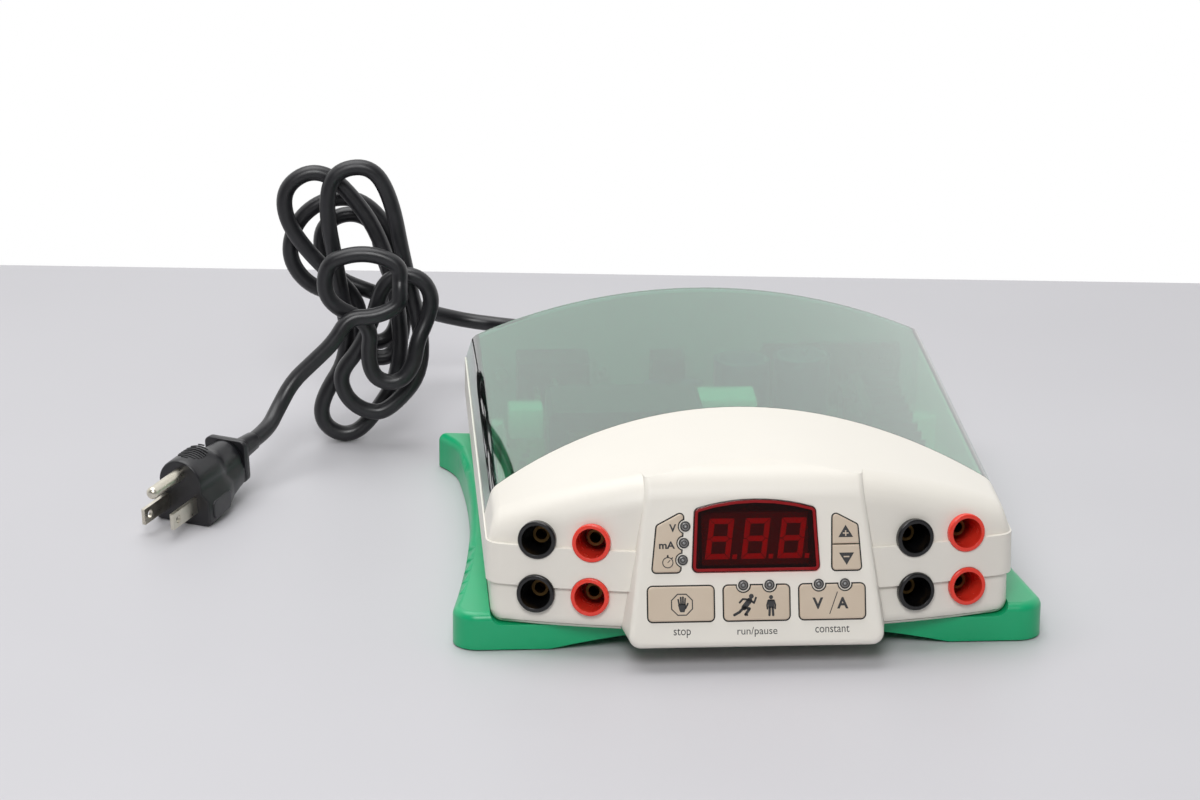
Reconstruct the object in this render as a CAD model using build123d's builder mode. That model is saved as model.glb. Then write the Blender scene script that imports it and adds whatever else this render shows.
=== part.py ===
"""Bench power supply for gel electrophoresis: two outputs, arched case, mains cord in a hank.

Millimetres. X to the right, Y to the back, Z up. The origin is on the table, under the middle of
the supply's own box; the mains cord lies outside that box.
"""
from build123d import *
import math
import os

os.makedirs("parts", exist_ok=True)

# Whole case
case_height = 67.5
overall_depth = 245.0
ledge_z = 39.4
body_foot_z = 9.7
body_half_width = 92.0
wall = 2.5
fit_gap = 0.2

# Arched crown over the whole case, white in front and clear behind
arch_radius = 221.25
shoulder_half_width = 90.2
crown_half_width = 93.0
crown_front_round = 12.0
crown_corner_round = 5.0

# Front panel: an upright arc in plan, leaning back
front_radius = 290.3
front_middle_y = -113.1
front_lean = 6.9
body_corner_round = 5.0
body_foot_round = 4.5

# Rear of the case
rear_edge_y = 120.8
rear_panel_outer_y = 119.8
rear_panel_thickness = 2.5

# Seam between the two white shells, and the belt above it
seam_z = 11.6
seam_gap = 0.3
floor_top_z = 12.0
tongue_top_z = 14.4
tongue_thickness = 1.4
belt_foot_z = 25.1
belt_proud = 1.5

# Round joint between the white crown and the clear cover
joint_radius = 147.1
joint_centre_y = -179.95
joint_gap = 0.3
cover_wall = 2.5

# Control pod on the front
pod_foot_z = 8.35
pod_half_width = 45.1
pod_narrowing = 0.124
pod_lean = 20.0
pod_draft = 8.0
pod_face_height = 52.5
pod_crest_round = 14.0
pod_crest_slope = 12.0
pod_corner_round = 4.5
pod_edge_round = 2.0
pod_heel_y = -100.6
pod_wall = 2.4

# Keys, in the pod's face: across and up from the middle of its lower edge
key_gap = 0.35
key_proud = 0.8
key_flange = 0.8
key_flange_thickness = 1.2
key_flange_gap = 0.3
key_travel = 0.7
key_edge_round = 0.45
key_stem_radius = 1.6
key_stem_fit = 0.05
key_stem_reach = 1.5
wide_key_width = 22.9
wide_key_height = 12.1
wide_key_pitch = 26.5
wide_key_middle = 16.15
wide_key_round = 1.5
small_key_round = 1.2
select_points = [(-36.3, 27.2), (-26.6, 27.2), (-25.1, 48.3), (-34.5, 43.4)]
change_points = [(26.8, 27.1), (36.9, 27.1), (35.8, 42.8), (27.2, 47.4)]
change_split = 36.1

# Lamps beside the keys
lamp_radius = 1.7
lamp_fit = 0.05
lamp_proud = 0.35
lamp_tab = 0.6
wide_key_lamp_half_pitch = 4.6
wide_key_lamp_height = 22.3
select_lamp_points = [(-24.5, 43.1), (-25.1, 37.3), (-25.6, 31.4)]

# Display window
window_foot = 26.95
window_shoulder = 49.1
window_crown = 52.3
window_foot_half = 22.5
window_shoulder_half = 21.3
window_round = 2.0
window_fit = 0.15
window_rim = 1.4
window_rim_proud = 0.9
window_proud = 0.3
window_flange = 0.8
window_flange_thickness = 1.0
display_width = 38.0
display_height = 19.0
display_middle = 38.55

# Boards
board_thickness = 1.6
front_board_depth = 9.5
front_board_half = 36.5
front_board_low = 7.4
front_board_high = 51.4
front_post_radius = 2.4
front_post_points = [(-32.5, 49.3), (32.5, 49.3)]
front_screw_radius = 1.0
front_clip_x = 30.0
front_clip_width = 5.0
front_clip_wall = 1.4
switch_size = 6.0
switch_height = 4.3
main_board_z = 16.0
main_board_half = 78.0
main_board_front_y = -66.0
main_board_rear_y = 104.0
board_boss_radius = 3.5
board_screw_radius = 1.5
board_boss_x = 70.0
board_boss_ys = (-58.0, 19.0, 96.0)

# Output jacks
jack_group_x = 67.2
jack_group_y = -106.0
jack_group_z = 22.74
jack_turn = 13.1
jack_pitch = 19.3
jack_row_pitch = 19.4
jack_ring_radius = 6.8
jack_bore_radius = 5.35
jack_body_radius = 6.2
jack_fit = 0.1
jack_ring_depth = 2.1
jack_length = 25.0
jack_bore_depth = 22.0
contact_radius = 3.0
contact_bore_radius = 2.0
contact_tip_depth = 10.0
contact_bore_depth = 10.0
contact_tail_radius = 1.2
contact_tail_length = 5.0
jack_board_width = 38.0
jack_board_margin = 6.6

# Green tray
tray_front_y = -99.9
tray_back_y = 102.0
tray_tip_y = 104.2
tray_top_z = 14.0
tray_foot_z = 0.5
tray_waist = 95.0
tray_waist_y = 33.0
tray_front_flare = 750.0
tray_corner_round = 9.0
tray_hip = (98.2, 89.5)
tray_tip_x = 107.4
tray_hip_round = 39.0
tray_tip_round = 3.0
tray_back_corner_x = 88.5
tray_top_round = 3.0
tray_arch_radius = 330.0
tray_arch_crown_z = 8.2
pad_radius = 7.0
pad_thickness = 1.5
pad_x = 89.0
pad_ys = (-84.0, 88.0)

# Screws up through the tray
screw_x = 84.0
screw_ys = (-62.0, 66.0)
screw_radius = 1.5
screw_head_radius = 2.8
screw_head_height = 2.2
screw_seat_z = 6.0
screw_top_z = 24.0
post_radius = 4.0
post_top_z = 28.0

# Parts of the power board
core_middle = (-36.0, 22.0)
core_width = 58.0
core_depth = 34.0
core_height = 34.0
core_limb = 14.0
winding_depth = 46.0
winding_round = 6.0
sink_x = 58.0
sink_ys = (-14.0, 50.0)
sink_length = 52.0
sink_base = 4.0
sink_height = 26.0
sink_fin_count = 6
sink_fin_reach = 14.0
sink_fin_thickness = 1.4
transistor_width = 15.0
transistor_height = 20.0
transistor_thickness = 4.6
transistor_lift = 3.0
transistor_pitch = 22.0
capacitor_radius = 11.0
capacitor_height = 32.0
capacitor_places = [(14.0, -38.0), (-12.0, -38.0), (14.0, 76.0), (38.0, 80.0)]
small_capacitor_radius = 5.0
small_capacitor_height = 16.0
small_capacitor_places = [(36.0, -50.0), (36.0, -36.0), (-4.0, 96.0), (-18.0, 96.0)]
inductor_middle = (14.0, -8.0)
inductor_radius = 13.0
inductor_tube = 5.0
relay_size = (28.0, 13.0, 16.0)
relay_places = [(-56.0, -40.0), (-56.0, -20.0), (-14.0, 56.0)]
header_size = (30.0, 8.0, 9.0)
header_y = -58.0
terminal_size = (26.0, 10.0, 12.0)
terminal_places = [(-46.0, 84.0), (20.0, 32.0)]
ribbon_width = 25.4
ribbon_thickness = 1.0

# Rear panel fittings: across, seen from the front, and up
inlet_place = (-58.0, 31.0)
inlet_flange = (50.0, 24.0)
inlet_flange_thickness = 2.7
inlet_body = (28.0, 20.4)
inlet_body_depth = 21.0
inlet_bore = (24.4, 16.8)
inlet_bore_depth = 18.5
inlet_bevel = 5.0
inlet_screw_half_pitch = 20.0
inlet_pin = (2.0, 4.0)
inlet_pin_length = 15.0
inlet_pin_half_pitch = 7.0
inlet_pin_drop = 2.0
inlet_tab_length = 8.0
rocker_place = (-12.0, 31.0)
rocker_bezel = (15.0, 21.0)
rocker_bezel_thickness = 1.4
rocker_body = (13.0, 19.0)
rocker_body_depth = 16.0
rocker_window = (10.6, 16.4)
rocker_width = 10.0
rocker_length = 14.8
rocker_depth = 7.0
rocker_pivot_depth = 3.4
rocker_tilt = 7.0
rocker_pin_radius = 1.2
rocker_pin_fit = 0.05
fuse_place = (14.0, 31.0)
fuse_flange_radius = 8.0
fuse_flange_thickness = 1.2
fuse_holder_radius = 6.2
fuse_holder_length = 30.0
fuse_bore_radius = 4.6
fuse_cap_fit = 0.05
fuse_cap_radius = 6.0
fuse_cap_head = 1.3
fuse_cap_reach = 10.0
fuse_radius = 2.5
fuse_length = 20.0
vent_x = 54.0
vent_count = 9
vent_pitch = 6.0
vent_width = 2.6
vent_foot_z = 19.0
vent_top_z = 41.0

# Mains cord, with its connector, its hank and its plug
cord_radius = 3.25
connector_fit = 0.4
connector_reach = 17.0
connector_grip = (27.5, 20.0)
connector_grip_length = 21.0
connector_shoulder = 6.0
relief_length = 20.0
relief_foot_radius = 6.2
relief_tip_radius = 4.3
relief_groove = 0.6
relief_groove_count = 5
hank_middle_x = -134.0
hank_front_y = 106.0
hank_lean = 6.0
hank_rise = 0.04
hank_start = (-16.0, 46.0, 43.0)
hank_end = (11.0, 57.0, 315.0)
hank_end_depth = 57.5
hank_end_rise = 3.2
plug_face = (-205.5, 37.4)
plug_heading = -120.0
plug_dip = 5.0
plug_size = (25.0, 26.0)
plug_round = 9.0
plug_body_length = 22.0
plug_shoulder = 12.0
blade_size = (1.5, 6.35)
blade_length = 17.5
blade_root = 4.0
blade_half_pitch = 6.35
blade_drop = 4.4
blade_hole_radius = 1.6
ground_pin_radius = 2.4
ground_pin_length = 21.0
ground_pin_lift = 7.5

# Bights of the hank, from front to back, lower and upper in turn: tip across, tip up,
# direction it points in, half width, length of its sides, depth, and depth gained round it
hank_bights = [
    (-0.5, 59.4, 270, 15.0, 9.6, 1.8, 2.6),
    (-0.4, 84.2, 90, 15.0, 9.6, 5.9, 2.6),
    (9.5, 31.0, 262, 9.5, 13.0, 10.5, 1.3),
    (19.5, 73.7, 75, 10.5, 11.0, 14.6, 1.3),
    (-4.0, 20.3, 230, 13.0, 11.0, 19.1, 1.3),
    (-4.0, 116.4, 100, 13.5, 22.0, 23.2, 1.3),
    (-13.0, 7.9, 237, 11.0, 14.0, 27.3, 1.3),
    (-26.0, 111.0, 125, 14.0, 18.0, 31.4, 1.3),
    (6.0, 36.0, 265, 9.0, 11.0, 35.5, 1.3),
    (-21.0, 97.0, 128, 20.0, 18.0, 39.6, 1.3),
    (5.0, 41.0, 268, 9.0, 11.0, 43.7, 1.3),
    (-7.0, 93.3, 100, 12.0, 11.0, 47.8, 1.3),
]

lean_slope = math.tan(math.radians(front_lean))
arch_centre_z = case_height - arch_radius
rear_inner_y = rear_panel_outer_y - rear_panel_thickness
front_centre_y = front_middle_y + front_radius
pod_lean_angle = math.radians(pod_lean)
pod_corner_angle = math.radians(90 - pod_lean)
pod_front_y = -overall_depth / 2 - pod_edge_round * (1 / math.tan(pod_corner_angle / 2) - 1)
pod_plane = Plane(
    origin=(0, pod_front_y, pod_foot_z),
    x_dir=(1, 0, 0),
    z_dir=(0, -math.cos(pod_lean_angle), math.sin(pod_lean_angle)),
)


def save(piece, name):
    """Label one piece and write it to its own file."""
    piece.part.label = name
    export_step(piece.part, f"parts/{name}.step")


def front_y(x, z, proud):
    """Where the front panel's surface stands at a place across and up, moved out by proud."""
    radius = front_radius + proud
    return front_centre_y + (z - body_foot_z) * lean_slope - math.sqrt(radius**2 - x**2)


def lean_extrude_length(height):
    """Length along the leaning front for a rise of height."""
    return height * math.hypot(1, lean_slope)


def case_slab(low, high, proud, foot_round=0.0):
    """One storey of the case between two heights, its outline moved out by proud."""
    half = body_half_width + proud
    beyond_y = rear_edge_y + 10
    with BuildPart() as slab:
        with BuildSketch(Plane.XY.offset(low)) as outline:
            with BuildLine():
                left = (-half, front_y(half, low, proud))
                right = (half, front_y(half, low, proud))
                ThreePointArc(left, (0, front_y(0, low, proud)), right)
                Polyline(right, (half, beyond_y), (-half, beyond_y), left)
            make_face()
            fillet(outline.vertices().sort_by(Axis.Y)[:2], body_corner_round + proud)
        extrude(amount=lean_extrude_length(high - low), dir=(0, lean_slope, 1))
        split(bisect_by=Plane.XZ.offset(-rear_edge_y), keep=Keep.TOP)
        if foot_round:
            foot = slab.faces().sort_by(Axis.Z)[0]
            fillet(foot.edges().sort_by(Axis.Y)[:-1], foot_round)
    return slab.part


def crown_block(inset):
    """The arched crown above the ledge, its skin drawn in by inset."""
    radius = arch_radius - inset
    shoulder = shoulder_half_width - inset
    shoulder_z = arch_centre_z + math.sqrt(radius**2 - shoulder**2)
    outer_shoulder_z = arch_centre_z + math.sqrt(arch_radius**2 - shoulder_half_width**2)
    flare = (crown_half_width - shoulder_half_width) / (outer_shoulder_z - ledge_z)
    low = body_foot_z
    foot = shoulder + (shoulder_z - low) * flare
    beyond = foot + 2
    beyond_y = rear_edge_y + 10
    with BuildPart() as crown:
        with BuildSketch(Plane.XY.offset(low)):
            with BuildLine():
                left = (-beyond, front_y(beyond, low, -inset))
                right = (beyond, front_y(beyond, low, -inset))
                ThreePointArc(left, (0, front_y(0, low, -inset)), right)
                Polyline(right, (beyond, beyond_y), (-beyond, beyond_y), left)
            make_face()
        extrude(amount=lean_extrude_length(case_height), dir=(0, lean_slope, 1))
        with BuildSketch(Plane.XZ.offset(-rear_edge_y)):
            with BuildLine():
                Line((-foot, low), (-shoulder, shoulder_z))
                ThreePointArc((-shoulder, shoulder_z), (0, arch_centre_z + radius), (shoulder, shoulder_z))
                Polyline((shoulder, shoulder_z), (foot, low), (-foot, low))
            make_face()
        extrude(amount=overall_depth, mode=Mode.INTERSECT)
        brow = crown.edges().filter_by(lambda e: abs(e.center().X) < 1 and e.center().Z > ledge_z)
        fillet(brow.sort_by(Axis.Y)[0], crown_front_round - inset)
        corners = crown.edges().filter_by(lambda e: abs(e.center().X) > shoulder - 5)
        corners = corners.filter_by(lambda e: abs((e @ 1 - e @ 0).Z) > crown_front_round)
        fillet(corners.filter_by(lambda e: e.center().Y < 0), crown_corner_round - inset)
        split(bisect_by=Plane.XY.offset(ledge_z), keep=Keep.TOP)
    return crown.part


def pod_prism(inset, ahead, behind):
    """Drafted prism through the pod's outline, from ahead of its face to behind it."""
    slope = math.tan(math.radians(pod_draft))
    with BuildPart() as prism:
        for shift in (-ahead, behind):
            at = Plane(pod_plane.origin + Vector(0, shift, 0), pod_plane.x_dir, pod_plane.z_dir)
            with BuildSketch(at) as outline:
                foot = inset / math.cos(pod_lean_angle)
                head = case_height
                foot_half = pod_half_width - pod_narrowing * foot + shift * slope - inset
                head_half = pod_half_width - pod_narrowing * head + shift * slope - inset
                corners = [(-foot_half, foot), (foot_half, foot), (head_half, head), (-head_half, head)]
                with BuildLine():
                    Polyline(*corners, close=True)
                make_face()
                fillet(outline.vertices().sort_by(Axis.Y)[:2], pod_corner_round - inset)
        loft(ruled=True)
    return prism.part


def pod_profile(inset, heel_y, floor_z):
    """Side view of the pod behind its face, as a sketch in the YZ plane."""
    angle = pod_lean_angle
    radius = pod_crest_round - inset
    slope = math.radians(pod_crest_slope)
    foot_z = pod_foot_z + inset
    face_foot = (pod_front_y + (foot_z - pod_foot_z) * math.tan(angle) + inset / math.cos(angle), foot_z)
    face_head = (
        pod_front_y + pod_face_height * math.sin(angle) + inset * math.cos(angle),
        pod_foot_z + pod_face_height * math.cos(angle) - inset * math.sin(angle),
    )
    centre = (face_head[0] + radius * math.cos(angle), face_head[1] - radius * math.sin(angle))
    crest_end = (centre[0] - radius * math.sin(slope), centre[1] + radius * math.cos(slope))
    half_turn = (math.pi - angle + math.pi / 2 + slope) / 2
    crest_middle = (centre[0] + radius * math.cos(half_turn), centre[1] + radius * math.sin(half_turn))
    run = 40.0
    back = (crest_end[0] + run, crest_end[1] + run * math.tan(slope))
    with BuildSketch(Plane.YZ) as profile:
        with BuildLine():
            Line(face_foot, face_head)
            ThreePointArc(face_head, crest_middle, crest_end)
            Polyline(crest_end, back, (back[0], floor_z), (heel_y, floor_z), (heel_y, foot_z), face_foot)
        make_face()
    return profile.sketch


def pod_body(inset, heel_y, floor_z, edge_round=0.0):
    """The pod as a solid, its skin drawn in by inset."""
    with BuildPart() as pod:
        add(pod_prism(inset, 0.0, 45.0))
        profile = pod_profile(inset, heel_y, floor_z)
        extrude(profile, amount=pod_half_width + 20, both=True, mode=Mode.INTERSECT)
        if edge_round:
            face = pod.faces().filter_by(lambda f: f.normal_at().Y < -0.5).sort_by(Face.area)[-1]
            below = pod_foot_z + pod_face_height * 0.8
            fillet(face.edges().filter_by(lambda e: e.center().Z < below), edge_round)
    return pod.part


def under_arch(block, inset):
    """The block, cut back to below the case's arch."""
    with BuildPart() as kept:
        add(block)
        with BuildSketch(Plane.XZ.offset(overall_depth / 2)):
            with Locations((0, arch_centre_z)):
                Circle(arch_radius - inset)
        extrude(amount=-overall_depth, mode=Mode.INTERSECT)
    return kept.part


def front_cut(inset):
    """What stands before the pod's face, inside its sides, where the panel has to give way."""
    side = pod_edge_round + 1
    with BuildPart() as cut:
        add(pod_prism(side, 14.0, 45.0))
        profile = pod_profile(inset, pod_heel_y, seam_z)
        extrude(profile, amount=pod_half_width + 20, both=True, mode=Mode.SUBTRACT)
        split(bisect_by=Plane.XY.offset(belt_foot_z), keep=Keep.TOP)
    return max(cut.part.solids(), key=lambda s: -s.center().Y)


def key_names():
    """The six keys."""
    return ("stop_key", "run_key", "constant_key", "select_key", "plus_key", "minus_key")


def key_outline(name, grow=0.0):
    """A key's outline on the pod's face, grown by an edge all round."""
    with BuildSketch() as outline:
        if name in wide_key_places:
            with Locations((wide_key_places[name], wide_key_middle)):
                RectangleRounded(wide_key_width, wide_key_height, wide_key_round)
        else:
            points = select_points if name == "select_key" else change_points
            with BuildLine():
                Polyline(*points, close=True)
            make_face()
            fillet(outline.vertices(), small_key_round)
            if name in ("plus_key", "minus_key"):
                side = 1 if name == "plus_key" else -1
                with Locations((change_points[0][0] + 5, change_split + side * (key_gap / 2 + 20))):
                    Rectangle(40, 40, mode=Mode.INTERSECT)
        if grow:
            offset(amount=grow)
    return outline.sketch


def key_lamps(name):
    """Places of the lamps that bite into a key's edge."""
    if name == "select_key":
        return select_lamp_points
    if name in ("run_key", "constant_key"):
        x = wide_key_places[name]
        return [(x + side * wide_key_lamp_half_pitch, wide_key_lamp_height) for side in (-1, 1)]
    return []


wide_key_places = {"stop_key": -wide_key_pitch, "run_key": 0.0, "constant_key": wide_key_pitch}
lamp_places = [place for name in key_names() for place in key_lamps(name)]
lamp_hole_radius = lamp_radius + lamp_fit
lamp_tab_radius = lamp_hole_radius + lamp_tab


def window_outline(grow=0.0):
    """The display window's outline on the pod's face."""
    with BuildSketch() as outline:
        with BuildLine():
            Polyline(
                (-window_shoulder_half, window_shoulder),
                (-window_foot_half, window_foot),
                (window_foot_half, window_foot),
                (window_shoulder_half, window_shoulder),
            )
            ThreePointArc(
                (window_shoulder_half, window_shoulder),
                (0, window_crown),
                (-window_shoulder_half, window_shoulder),
            )
        make_face()
        fillet(outline.vertices(), window_round)
        if grow:
            offset(amount=grow)
    return outline.sketch


# The jacks' planes: local X along the panel, Z out of the ring's face
def jack_plane(side, column, row):
    """Plane of one jack's ring face; column -0.5 or 0.5 along the panel, row 0 or 1 up it."""
    turn = math.radians(jack_turn)
    lean = math.radians(front_lean)
    along = Vector(math.cos(turn), side * math.sin(turn), 0)
    out = Vector(side * math.sin(turn) * math.cos(lean), -math.cos(turn) * math.cos(lean), math.sin(lean))
    up = out.cross(along)
    middle = Vector(side * jack_group_x, jack_group_y, jack_group_z)
    return Plane(middle + along * (column * jack_pitch) + up * (row * jack_row_pitch), along, out)


jack_slots = [(side, column, row) for side in (-1, 1) for column in (-0.5, 0.5) for row in (0, 1)]

# Upper housing: white shell with belt, crown and pod
with BuildPart() as case_cavity:
    add(case_slab(seam_z, ledge_z, -wall))
    add(crown_block(wall))
    add(front_cut(pod_wall), mode=Mode.SUBTRACT)
    add(under_arch(pod_body(pod_wall, pod_heel_y - pod_wall, seam_z), wall))

with BuildPart() as white_crown:
    add(crown_block(0))
    with BuildSketch(Plane.XY.offset(ledge_z)):
        with Locations((0, joint_centre_y)):
            Circle(joint_radius)
    extrude(amount=case_height, mode=Mode.INTERSECT)

post_places = [(side * screw_x, y) for side in (-1, 1) for y in screw_ys]
post_foot_z = floor_top_z + fit_gap
thread_fit = 0.05

with BuildPart() as upper_housing:
    add(case_slab(body_foot_z, ledge_z, 0, body_foot_round))
    split(bisect_by=Plane.XY.offset(seam_z + seam_gap / 2), keep=Keep.TOP)
    add(case_slab(belt_foot_z, ledge_z, belt_proud))
    add(white_crown.part)
    add(front_cut(0), mode=Mode.SUBTRACT)
    add(under_arch(pod_body(0, pod_heel_y, seam_z + seam_gap / 2, pod_edge_round), 0))
    add(case_cavity.part, mode=Mode.SUBTRACT)
    # Screw posts joined to the side walls
    with BuildSketch(Plane.XY.offset(post_foot_z)):
        for x, y in post_places:
            side = math.copysign(1, x)
            with Locations((x, y)):
                Circle(post_radius)
            with Locations(((x + side * (body_half_width - wall)) / 2 + side, y)):
                Rectangle(body_half_width - screw_x, post_radius)
    extrude(amount=post_top_z - post_foot_z)
    with BuildSketch(Plane.XY.offset(post_foot_z)):
        with Locations(*post_places):
            Circle(screw_radius + thread_fit)
    extrude(amount=post_top_z - post_foot_z - 2, mode=Mode.SUBTRACT)
    # Posts and clips for the board behind the pod's face
    with BuildSketch(pod_plane.offset(-pod_wall + 1)):
        with Locations(*front_post_points):
            Circle(front_post_radius)
    extrude(amount=-(front_board_depth - pod_wall + 1))
    with BuildSketch(pod_plane.offset(-front_board_depth)):
        with Locations(*front_post_points):
            Circle(front_screw_radius + thread_fit)
    extrude(amount=front_board_depth - pod_wall, mode=Mode.SUBTRACT)
    clip_depth = board_thickness + 2 * (front_clip_wall + fit_gap)
    clip_front = front_board_depth - fit_gap - front_clip_wall
    with BuildSketch(pod_plane.offset(-clip_front)):
        with Locations((-front_clip_x, front_board_low), (front_clip_x, front_board_low)):
            Rectangle(front_clip_width, 5)
    extrude(amount=-clip_depth)
    with BuildSketch(pod_plane.offset(-clip_front - front_clip_wall)):
        with Locations((0, front_board_low - fit_gap + 10)):
            Rectangle(2 * front_board_half + 2, 20)
    extrude(amount=-board_thickness - 2 * fit_gap, mode=Mode.SUBTRACT)
    # Key, lamp and window openings
    for name in key_names():
        with BuildSketch(pod_plane.offset(key_proud)):
            add(key_outline(name, key_gap))
            if key_lamps(name):
                with Locations(*key_lamps(name)):
                    Circle(lamp_tab_radius, mode=Mode.SUBTRACT)
        extrude(amount=-key_proud - pod_wall - 1, mode=Mode.SUBTRACT)
    with BuildSketch(pod_plane.offset(key_proud)):
        with Locations(*lamp_places):
            Circle(lamp_hole_radius)
    extrude(amount=-key_proud - pod_wall - 1, mode=Mode.SUBTRACT)
    with BuildSketch(pod_plane.offset(window_rim_proud)):
        add(window_outline(window_fit))
    extrude(amount=-window_rim_proud - pod_wall - 1, mode=Mode.SUBTRACT)
    # Jack holes, stepped for the rings where the belt stands proud
    for slot in jack_slots:
        with BuildSketch(jack_plane(*slot)):
            Circle(jack_ring_radius + jack_fit)
        extrude(amount=-jack_ring_depth - jack_fit / 2, mode=Mode.SUBTRACT)
        with BuildSketch(jack_plane(*slot)):
            Circle(jack_body_radius + jack_fit)
        extrude(amount=-jack_ring_depth - 3 * wall, mode=Mode.SUBTRACT)
save(upper_housing, "upper_housing")

# Lower housing: floor, tongue inside the upper shell and bosses for the power board
pod_clear = 0.3
boss_places = [(side * board_boss_x, y) for side in (-1, 1) for y in board_boss_ys]
with BuildPart() as pod_room:
    add(pod_prism(-pod_clear, 5.0, 45.0))
    split(bisect_by=Plane.XZ.offset(-pod_heel_y - pod_clear), keep=Keep.TOP)

with BuildPart() as lower_housing:
    add(case_slab(body_foot_z, ledge_z, 0, body_foot_round))
    split(bisect_by=Plane.XY.offset(seam_z - seam_gap / 2), keep=Keep.BOTTOM)
    add(case_slab(seam_z - seam_gap / 2, tongue_top_z, -wall - fit_gap))
    add(case_slab(floor_top_z, tongue_top_z, -wall - fit_gap - tongue_thickness), mode=Mode.SUBTRACT)
    # Room for the rear panel, the pod and the screw posts
    with BuildSketch(Plane.XY.offset(floor_top_z)):
        with Locations((0, rear_inner_y - fit_gap)):
            Rectangle(3 * body_half_width, rear_edge_y, align=(Align.CENTER, Align.MIN))
    extrude(amount=tongue_top_z, mode=Mode.SUBTRACT)
    add(pod_room.part, mode=Mode.SUBTRACT)
    with BuildSketch(Plane.XY.offset(floor_top_z)):
        for x, y in post_places:
            with Locations((x + math.copysign(post_radius, x), y)):
                Rectangle(2 * (2 * post_radius + fit_gap), 2 * (post_radius + fit_gap))
    extrude(amount=tongue_top_z, mode=Mode.SUBTRACT)
    with BuildSketch(Plane.XY.offset(body_foot_z)):
        with Locations(*post_places):
            Circle(screw_radius + fit_gap)
    extrude(amount=tongue_top_z, mode=Mode.SUBTRACT)
    with BuildSketch(Plane.XY.offset(floor_top_z)):
        with Locations(*boss_places):
            Circle(board_boss_radius)
    extrude(amount=main_board_z - floor_top_z)
    with BuildSketch(Plane.XY.offset(main_board_z)):
        with Locations(*boss_places):
            Circle(board_screw_radius + thread_fit)
    extrude(amount=-(main_board_z - floor_top_z), mode=Mode.SUBTRACT)
save(lower_housing, "lower_housing")

# Clear cover over the rear two thirds
with BuildPart() as top_cover:
    add(crown_block(0))
    add(crown_block(cover_wall), mode=Mode.SUBTRACT)
    with BuildSketch(Plane.XY.offset(ledge_z)):
        with Locations((0, joint_centre_y)):
            Circle(joint_radius + joint_gap)
    extrude(amount=case_height, mode=Mode.SUBTRACT)
    split(bisect_by=Plane.XY.offset(ledge_z + fit_gap / 2), keep=Keep.TOP)
save(top_cover, "top_cover")

# Green tray under the case
def flare_x(y, radius):
    """Half width of the tray along its waisted side."""
    return tray_waist + radius - math.sqrt(radius**2 - (y - tray_waist_y) ** 2)


hip_x, hip_y = tray_hip
hip_radius = ((hip_y - tray_waist_y) ** 2 + (hip_x - tray_waist) ** 2) / (2 * (hip_x - tray_waist))
pocket_half = body_half_width + fit_gap
with BuildPart() as base_tray:
    with BuildSketch(Plane.XY.offset(tray_foot_z)) as outline:
        with BuildLine():
            front_corner = (flare_x(tray_front_y, tray_front_flare), tray_front_y)
            middle_y = (tray_front_y + tray_waist_y) / 2
            waist = (tray_waist, tray_waist_y)
            Line((0, tray_front_y), front_corner)
            ThreePointArc(front_corner, (flare_x(middle_y, tray_front_flare), middle_y), waist)
            middle_y = (hip_y + tray_waist_y) / 2
            ThreePointArc(waist, (flare_x(middle_y, hip_radius), middle_y), (hip_x, hip_y))
            tip, back_corner = (tray_tip_x, tray_tip_y), (tray_back_corner_x, tray_back_y)
            Polyline((hip_x, hip_y), tip, back_corner, (0, tray_back_y))
            mirror(about=Plane.YZ)
        make_face()
        corners = outline.vertices()
        fillet(corners.group_by(Axis.Y)[0].filter_by(lambda v: abs(v.X) > 1), tray_corner_round)
        tips = outline.vertices().filter_by(lambda v: abs(abs(v.X) - tray_tip_x) < 0.1)
        fillet(tips, tray_tip_round)
        hips = outline.vertices().filter_by(lambda v: abs(abs(v.X) - hip_x) < 0.1 and v.Y < hip_y + 0.1)
        fillet(hips, tray_hip_round)
    extrude(amount=tray_top_z - tray_foot_z)
    fillet(base_tray.faces().sort_by(Axis.Z)[-1].edges(), tray_top_round)
    # Channel that the case lies in
    with BuildSketch(Plane.XZ.offset(overall_depth / 2)) as channel:
        with Locations((0, body_foot_z)):
            Rectangle(2 * pocket_half, 2 * tray_top_z, align=(Align.CENTER, Align.MIN))
        fillet(channel.vertices().group_by(Axis.Y)[0], body_foot_round)
    extrude(amount=-overall_depth, mode=Mode.SUBTRACT)
    # Arched underside between the feet
    with BuildSketch(Plane.XZ.offset(overall_depth / 2)):
        with Locations((0, tray_arch_crown_z - tray_arch_radius)):
            Circle(tray_arch_radius)
    extrude(amount=-overall_depth, mode=Mode.SUBTRACT)
    pad_places = [(side * pad_x, y) for side in (-1, 1) for y in pad_ys]
    with BuildSketch(Plane.XY.offset(tray_foot_z)):
        with Locations(*pad_places):
            Circle(pad_radius + fit_gap / 2)
    extrude(amount=pad_thickness - tray_foot_z, mode=Mode.SUBTRACT)
    with BuildSketch(Plane.XY.offset(tray_foot_z)):
        with Locations(*post_places):
            Circle(screw_head_radius + fit_gap)
    extrude(amount=screw_seat_z - tray_foot_z, mode=Mode.SUBTRACT)
    with BuildSketch(Plane.XY.offset(tray_foot_z)):
        with Locations(*post_places):
            Circle(screw_radius + fit_gap)
    extrude(amount=tray_top_z, mode=Mode.SUBTRACT)
save(base_tray, "base_tray")

with BuildPart() as foot_pads:
    with BuildSketch():
        with Locations(*pad_places):
            Circle(pad_radius)
    extrude(amount=pad_thickness)
    chamfer(foot_pads.faces().sort_by(Axis.Z)[0:4].edges(), 0.4)
save(foot_pads, "foot_pads")

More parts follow.
